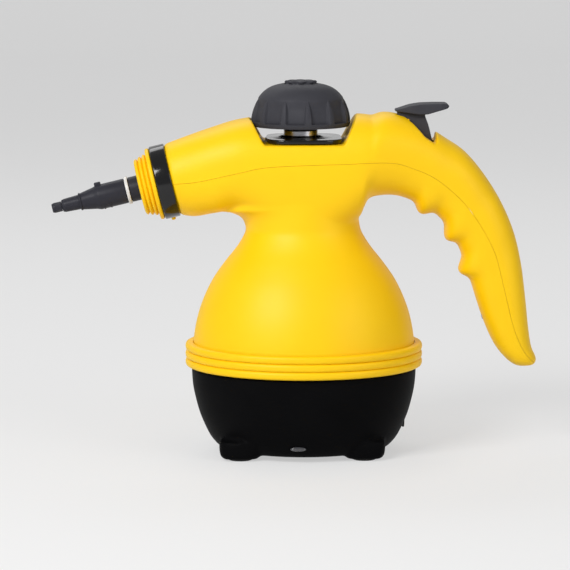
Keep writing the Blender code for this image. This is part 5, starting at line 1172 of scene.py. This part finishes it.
# %% One wedge of the cap's outside
CAP_BOTTOM, CAP_WALL = SADDLE_FLOOR + 0.0099, 0.0036
CAP_SHARES = (
    (0.965, 0.0), (0.993, 0.07), (1.0, 0.16), (0.985, 0.28), (0.956, 0.40), (0.896, 0.568),
    (0.800, 0.736), (0.670, 0.866), (0.526, 0.942), (0.355, 0.988),
)
PANELS, PANEL_DEPTH, RIM_TOP, ARCH_TOP = 12, 0.0026, 0.0029, 0.0172
DISC_RADIUS, DISC_HEIGHT = 0.0100, 0.0024
RECESS_RADIUS, RECESS_FLOOR = DISC_RADIUS + FIT, CAP_HEIGHT - DISC_HEIGHT / 2
# Columns from the middle of a ridge: share of its half angle, of the panel beside it, of the depth.
COLUMNS = (
    (0.0, 0, 0.0), (0.42, 0, 0.0), (0.52, 0, 0.05), (0.62, 0, 0.25), (0.78, 0, 0.75), (0.90, 0, 0.96),
    (1.0, 0, 1.0), (1, 0.04, 1.0), (1, 0.35, 1.0), (1, 0.7, 1.0), (1, 1.0, 1.0),
)


def dome_line(count):
    """Radius and height of the dome from its rim to the recess on its top."""
    return [(radius * CAP_RADIUS, height * CAP_HEIGHT) for radius, height in sampled(CAP_SHARES, count)]


def ridge_half(height):
    """Half the angle of a ridge: nearly straight sides that close to a point at the arch's top."""
    rise = min(max((height - RIM_TOP) / (ARCH_TOP - RIM_TOP), 0), 1)
    return math.radians(0.25 + 5.7 * (1 - rise**2.2) ** 0.75)


def cap_levels():
    """Radius, height and share of the panels' depth, from the rim to the middle of the recess."""
    line = dome_line(61)
    radii, heights = zip(*line)
    start = np.interp(RIM_TOP, heights, radii)
    levels = [(radius, height, 0.0) for radius, height in line if height < RIM_TOP - 0.0002]
    for rise, sink in ((-0.0002, 0.0), (0.0001, 0.55), (0.0003, 1.0)):
        levels.append((start, RIM_TOP + rise, sink))
    for radius, height in line:
        if height > RIM_TOP + 0.0004 and radius > RECESS_RADIUS + 0.0012:
            left = (ARCH_TOP - height) / (ARCH_TOP - RIM_TOP)
            levels.append((radius, height, math.sin(math.pi / 2 * min(1.0, max(0.0, left * 2.2)))))
    brim = np.interp(-RECESS_RADIUS, [-radius for radius in radii], heights)
    levels += [(RECESS_RADIUS + 0.0004, brim - 0.0001, 0.0), (RECESS_RADIUS, brim - 0.0005, 0.0)]
    return levels + [(RECESS_RADIUS * share, RECESS_FLOOR, 0.0) for share in (1, 0.6, 0.1)]


def cap_wedge():
    """Outside, inside and top of a twelfth of the cap, with a ridge in its middle."""
    half = math.pi / PANELS
    columns = [(-ridge, -panel, depth) for ridge, panel, depth in reversed(COLUMNS[1:])] + [*COLUMNS]
    points, rows = [], []
    for radius, height, sink in cap_levels():
        ridge, flat = ridge_half(height), radius * math.cos(half * 0.62)
        rows.append(range(len(points), len(points) + len(columns)))
        for ridge_share, panel_share, depth in columns:
            angle = ridge_share * ridge + panel_share * (half - ridge)
            wall = flat / max(math.cos(half - abs(angle)), 0.5) - PANEL_DEPTH * 0.85
            reach = radius + (min(wall, radius) - radius) * depth * sink
            points.append((reach * math.cos(angle), reach * math.sin(angle), height))
    return plain_mesh("cap_wedge", points, strips(rows, closed=False))

# %% Twelve wedges, closed and hollowed
def close_rims(work):
    for level in (0.0, RECESS_FLOOR):
        rim = [edge for edge in work.edges if edge.is_boundary and abs(edge.verts[0].co.z - level) < 1e-6]
        bmesh.ops.contextual_create(work, geom=rim)


CAP_PLACE = shift(0, 0, CAP_BOTTOM)
PLUG_BASE = NECK_TOP + 0.0012 + 2 * FIT - CAP_BOTTOM
PLUG_STEP, PLUG_TOP = PLUG_BASE + 0.0040, PLUG_BASE + 0.0130
SOCKET_RADIUS = 0.0120 + FIT
socket_wall = SOCKET_RADIUS + 0.0030
inner = [(0, -PAST), (CAP_SHARES[0][0] * CAP_RADIUS - CAP_WALL, -PAST)]
inner += [(radius - CAP_WALL, height - (CAP_WALL if height > 0.012 else 0))
          for radius, height in dome_line(16) if radius - CAP_WALL > socket_wall]
inner += [(socket_wall, CAP_HEIGHT - 0.0055), (socket_wall, PLUG_STEP), (SOCKET_RADIUS, PLUG_STEP)]
inner += [(SOCKET_RADIUS, PLUG_TOP + FIT), (0, PLUG_TOP + FIT)]
wedges = grown(cap_wedge(), circled, cap_charcoal, {"Count": PANELS, "Start angle": math.radians(7.5)})
dome = cut(reworked(wedges, close_rims), turned("cap_hollow", inner))
placed("cap_dome", laid(dome, CAP_PLACE), cap_charcoal, "cap", "cap_knob", sharp=30, about=AXIS_X)

# %% [markdown]
# A small disc with eight soft lobes sits in the dome's top. Its rim is rounded and its face slightly
# dished, which is what catches the light there.

# %% The lobed disc
def lobed_disc():
    low, top, rings = RECESS_FLOOR + FIT, CAP_HEIGHT + DISC_HEIGHT / 2 + FIT, []
    rows = [(0.93, low, 0), (0.94, CAP_HEIGHT - 0.0001, 0.3), (0.995, top - 0.0013, 1)]
    rows += [(1.0, top - 0.0009, 1), (0.985, top - 0.0004, 1), (0.94, top - 0.0001, 1), (0.88, top, 0.9)]
    rows += [(0.80, top - 0.0001, 0.7), (0.7, top - 0.0004, 0.3)]
    for size, height, lobes in [*rows, (0.4, top - 0.0005, 0), (0.1, top - 0.0005, 0)]:
        ring = []
        for angle in circle(160):
            reach = DISC_RADIUS * size - 0.0021 * lobes * (0.5 - 0.5 * math.cos(8 * angle)) ** 1.4
            ring.append((reach * math.cos(angle), reach * math.sin(angle), height))
        rings.append(ring)
    return laid(lofted("disc", rings), CAP_PLACE)


placed("cap_medallion", lobed_disc(), cap_charcoal, "cap", "cap_disc", about=AXIS_X)

# %% [markdown]
# Inside the cap a metal plug screws into the neck, and a washer seals it. The plug's thread is the
# same wound ridge as on the screws.

# %% The plug and its washer
STEM_RADIUS = 0.0064


def threaded_plug():
    base, end, step, top = PLUG_BASE, PLUG_BASE - 0.0120, PLUG_STEP + FIT, PLUG_TOP
    rows = [(0, end), (0.0060, end), (STEM_RADIUS, end + 0.0006), (STEM_RADIUS, base)]
    rows += [(NECK_RADIUS - 0.0004, base), (NECK_RADIUS, base + 0.0004), (NECK_RADIUS, step - 0.0004)]
    rows += [(NECK_RADIUS - 0.0004, step), (0.0118, step), (0.0120, step + 0.0002), (0.0120, top - 0.0003)]
    body = turned("plug", [*rows, (0.0117, top), (0, top)], 72)
    body = wound(body, end + 0.0010, Radius=STEM_RADIUS, Wire=0.00035, Height=0.0095, Turns=3.8)
    return laid(body, CAP_PLACE)


placed("cap_stopper", threaded_plug(), neck_bright, "cap", "cap_plug", about=AXIS_X)
high = PLUG_BASE - FIT
washer = hoop("washer", 0.0068 + FIT, NECK_RADIUS, high - 0.0012, high, 72, (0.0003, 3))
placed("cap_seal", laid(washer, CAP_PLACE), pad_rubber, "cap_ring", "cap_washer", about=AXIS_X)

# %% [markdown]
# ## The trigger
#
# The trigger is a slim pad on a web that drops into its slot. The pad's side view is drawn point by
# point, its plan narrows to a pointed front, and the whole gets a moulded skin. It turns about a pin
# through the web.

# %% The pad and its web
# Offsets from the pin, as shares of TRIGGER_LENGTH.
PAD_SHARES = (
    (-0.138, 0.252), (-0.120, 0.285), (-0.018, 0.310), (0.132, 0.357), (0.318, 0.386),
    (0.541, 0.395), (0.810, 0.395), (0.862, 0.342), (0.809, 0.303), (0.632, 0.256),
    (0.447, 0.200), (0.279, 0.206), (0.044, 0.236),
)
WEB_SHARES = (
    (-0.085, 0.262), (0.404, 0.262), (0.420, 0.147), (0.465, 0.032), (0.497, -0.079), (0.526, -0.203),
    (0.550, -0.291), (0.540, -0.440), (0.370, -0.440), (0.180, -0.200), (-0.085, -0.110),
)
# Half widths of the pad along its length, in metres.
PAD_PLAN = (
    (-0.0065, 0.0), (-0.0060, 0.0030), (-0.0042, 0.0058), (0.0, 0.0080), (0.0060, 0.0093),
    (0.0140, 0.0095), (0.0240, 0.0095), (0.0280, 0.0080), (0.0298, 0.0040), (0.0300, 0.0),
)


def side_body(name, shares, ease, steps, half_depth):
    outline = [(x * TRIGGER_LENGTH, z * TRIGGER_LENGTH) for x, z in shares]
    return prism(name, eased(outline, ease, steps), half_depth)


def thumb_trigger():
    outline = [*PAD_PLAN, *((x, -half) for x, half in reversed(PAD_PLAN[1:-1]))]
    plan = lofted("plan", [[(x, y, z) for x, y in outline] for z in (0.0, 0.02)])
    pad = common(side_body("pad", PAD_SHARES, 0.0016, 4, 0.0095), plan)
    web = side_body("web", WEB_SHARES, 0.0008, 3, WEB_HALF)
    whole = moulded(joined(pad, web), 0.00042, 4)
    hole = rod("pin_hole", (0, -0.02, 0), (0, 0.02, 0), PIN_RADIUS + FIT)
    return laid(cut(whole, hole), shift(PIN_X, 0, PIN_Z))


def hinge_pin():
    end, edge, thin = 0.0100, 0.0097, PIN_RADIUS - 0.0003
    rows = [(0, -end), (thin, -end), (PIN_RADIUS, -edge), (PIN_RADIUS, edge), (thin, end), (0, end)]
    lay = shift(PIN_X, 0, PIN_Z) @ Matrix.Rotation(math.pi / 2, 4, "X")
    return laid(turned("pin", rows, 32), lay)


placed("thumb_trigger", thumb_trigger(), cap_charcoal, "trigger", "trigger")
placed("hinge_pin", hinge_pin(), neck_bright, "housing", "trigger_pin")

# %% [markdown]
# ## What is inside
#
# The boiler, its heater, the valve and the pipes are hidden when the shell is closed, and their
# measured solids already have the right shape. They keep their own meshes and only get the finishes.

# %% Finishes for the pieces inside
INSIDE = (
    (boiler_spun, ("boiler_tank", "boiler_dome")),
    (neck_bright, ("heating_element", "thermostat", "valve_plunger", "valve_spring")),
    (pad_rubber, ("tank_gasket", "heater_lead_1", "heater_lead_2", "outlet_seal")),
    (ring_pale, ("thermal_fuse", "terminal_block")),
    (fitting_brass, ("steam_outlet", "valve_body")),
    (pipe_copper, ("steam_pipe_in", "steam_pipe_out")),
)
for material, names in INSIDE:
    for name in names:
        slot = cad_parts[name].material_slots[0]
        slot.link = "OBJECT"
        slot.material = material
print("inside:", sum(len(names) for _, names in INSIDE), "pieces")

# %% [markdown]
# ## The studio
#
# A pale floor runs far back and up into a pale backdrop on one curve, so no horizon shows. To the
# camera and to gloss it shines a little by itself, so its whiteness needs no more light on the
# object, and it still keeps the object's shadow. Three soft area lights do the rest: a key from above
# the camera's left, a fill from the right, and one behind for the outlines.

# %% Floor and backdrop
def studio_white():
    material = bpy.data.materials.new("studio_white")
    material.use_nodes = True
    tree = material.node_tree
    shader = tree.nodes["Principled BSDF"]
    feed(shader, {"Base Color": (0.76, 0.76, 0.76, 1), "Roughness": 0.9})
    path = add_node(tree, "ShaderNodeLightPath", {})
    seen = path["Is Camera Ray"]
    for other, operation in ((path["Is Glossy Ray"], "MAXIMUM"), (path["Is Transmission Ray"], "MAXIMUM"),
                             (0.55, "MULTIPLY")):
        seen = add_node(tree, "ShaderNodeMath", {0: seen, 1: other}, operation=operation)["Value"]
    glow = add_node(tree, "ShaderNodeEmission", {"Color": (0.92, 0.92, 0.92, 1)})["Emission"]
    both = add_node(tree, "ShaderNodeMixShader", {"Fac": seen, 1: shader.outputs["BSDF"], 2: glow})
    feed(tree.nodes["Material Output"], {"Surface": both["Shader"]})
    return material


def sweep_floor():
    """A floor that curves up into a wall, as one strip drawn out to both sides."""
    front, bend, radius, half_width, top = -4.0, 3.6, 0.8, 5.0, 4.0
    line = [(front, 0.0), (bend, 0.0)]
    for turn in np.linspace(0.1, math.pi / 2, 14):
        line.append((bend + radius * math.sin(turn), radius - radius * math.cos(turn)))
    line.append((bend + radius, top))
    points = [(side * half_width, y, z) for side in (-1, 1) for y, z in line]
    count = len(line)
    faces = [(step, count + step, count + step + 1, step + 1) for step in range(count - 1)]
    mesh = plain_mesh("floor", points, faces)
    mesh.materials.append(studio_white())
    mesh.shade_smooth()
    linked("studio_floor", mesh)


sweep_floor()

# %% Lights and the world
def aimed(thing, place, facing):
    thing.location = place
    thing.rotation_euler = facing.to_track_quat("-Z", "Y").to_euler()


def softbox(name, place, size, power):
    data = bpy.data.lights.new(name, "AREA")
    data.shape = "RECTANGLE"
    data.size, data.size_y = size
    data.energy = power
    aimed(linked(name, data), place, Vector((SHELL_X, 0, 0.12)) - Vector(place))


softbox("key", (-0.9, -1.2, 1.1), (0.8, 0.6), 24)
softbox("fill", (1.2, -1.1, 0.7), (0.9, 0.9), 6)
softbox("rim", (-0.3, 1.1, 1.3), (1.2, 0.5), 5)
world = bpy.data.worlds.new("studio_world")
world.use_nodes = True
feed(world.node_tree.nodes["Background"], {"Color": (0.95, 0.95, 0.96, 1), "Strength": 0.37})
bpy.context.scene.world = world
bpy.context.scene.view_settings.view_transform = "Standard"

# %% [markdown]
# The photograph looks almost straight at the side, from slightly above and far away, so the camera
# stands back with a long lens.

# %% The camera
TURN, RISE, DISTANCE = math.radians(1.5), math.radians(7.5), 2.2
data = bpy.data.cameras.new("photo_camera")
data.lens, data.sensor_width, data.clip_end = 224.0, 36.0, 50
camera = linked("photo_camera", data)
back = Vector((-math.sin(TURN) * math.cos(RISE), -math.cos(TURN) * math.cos(RISE), math.sin(RISE)))
aimed(camera, Vector((SHELL_X - 0.0117, 0, 0.1034)) + back * DISTANCE, -back)
bpy.context.scene.camera = camera
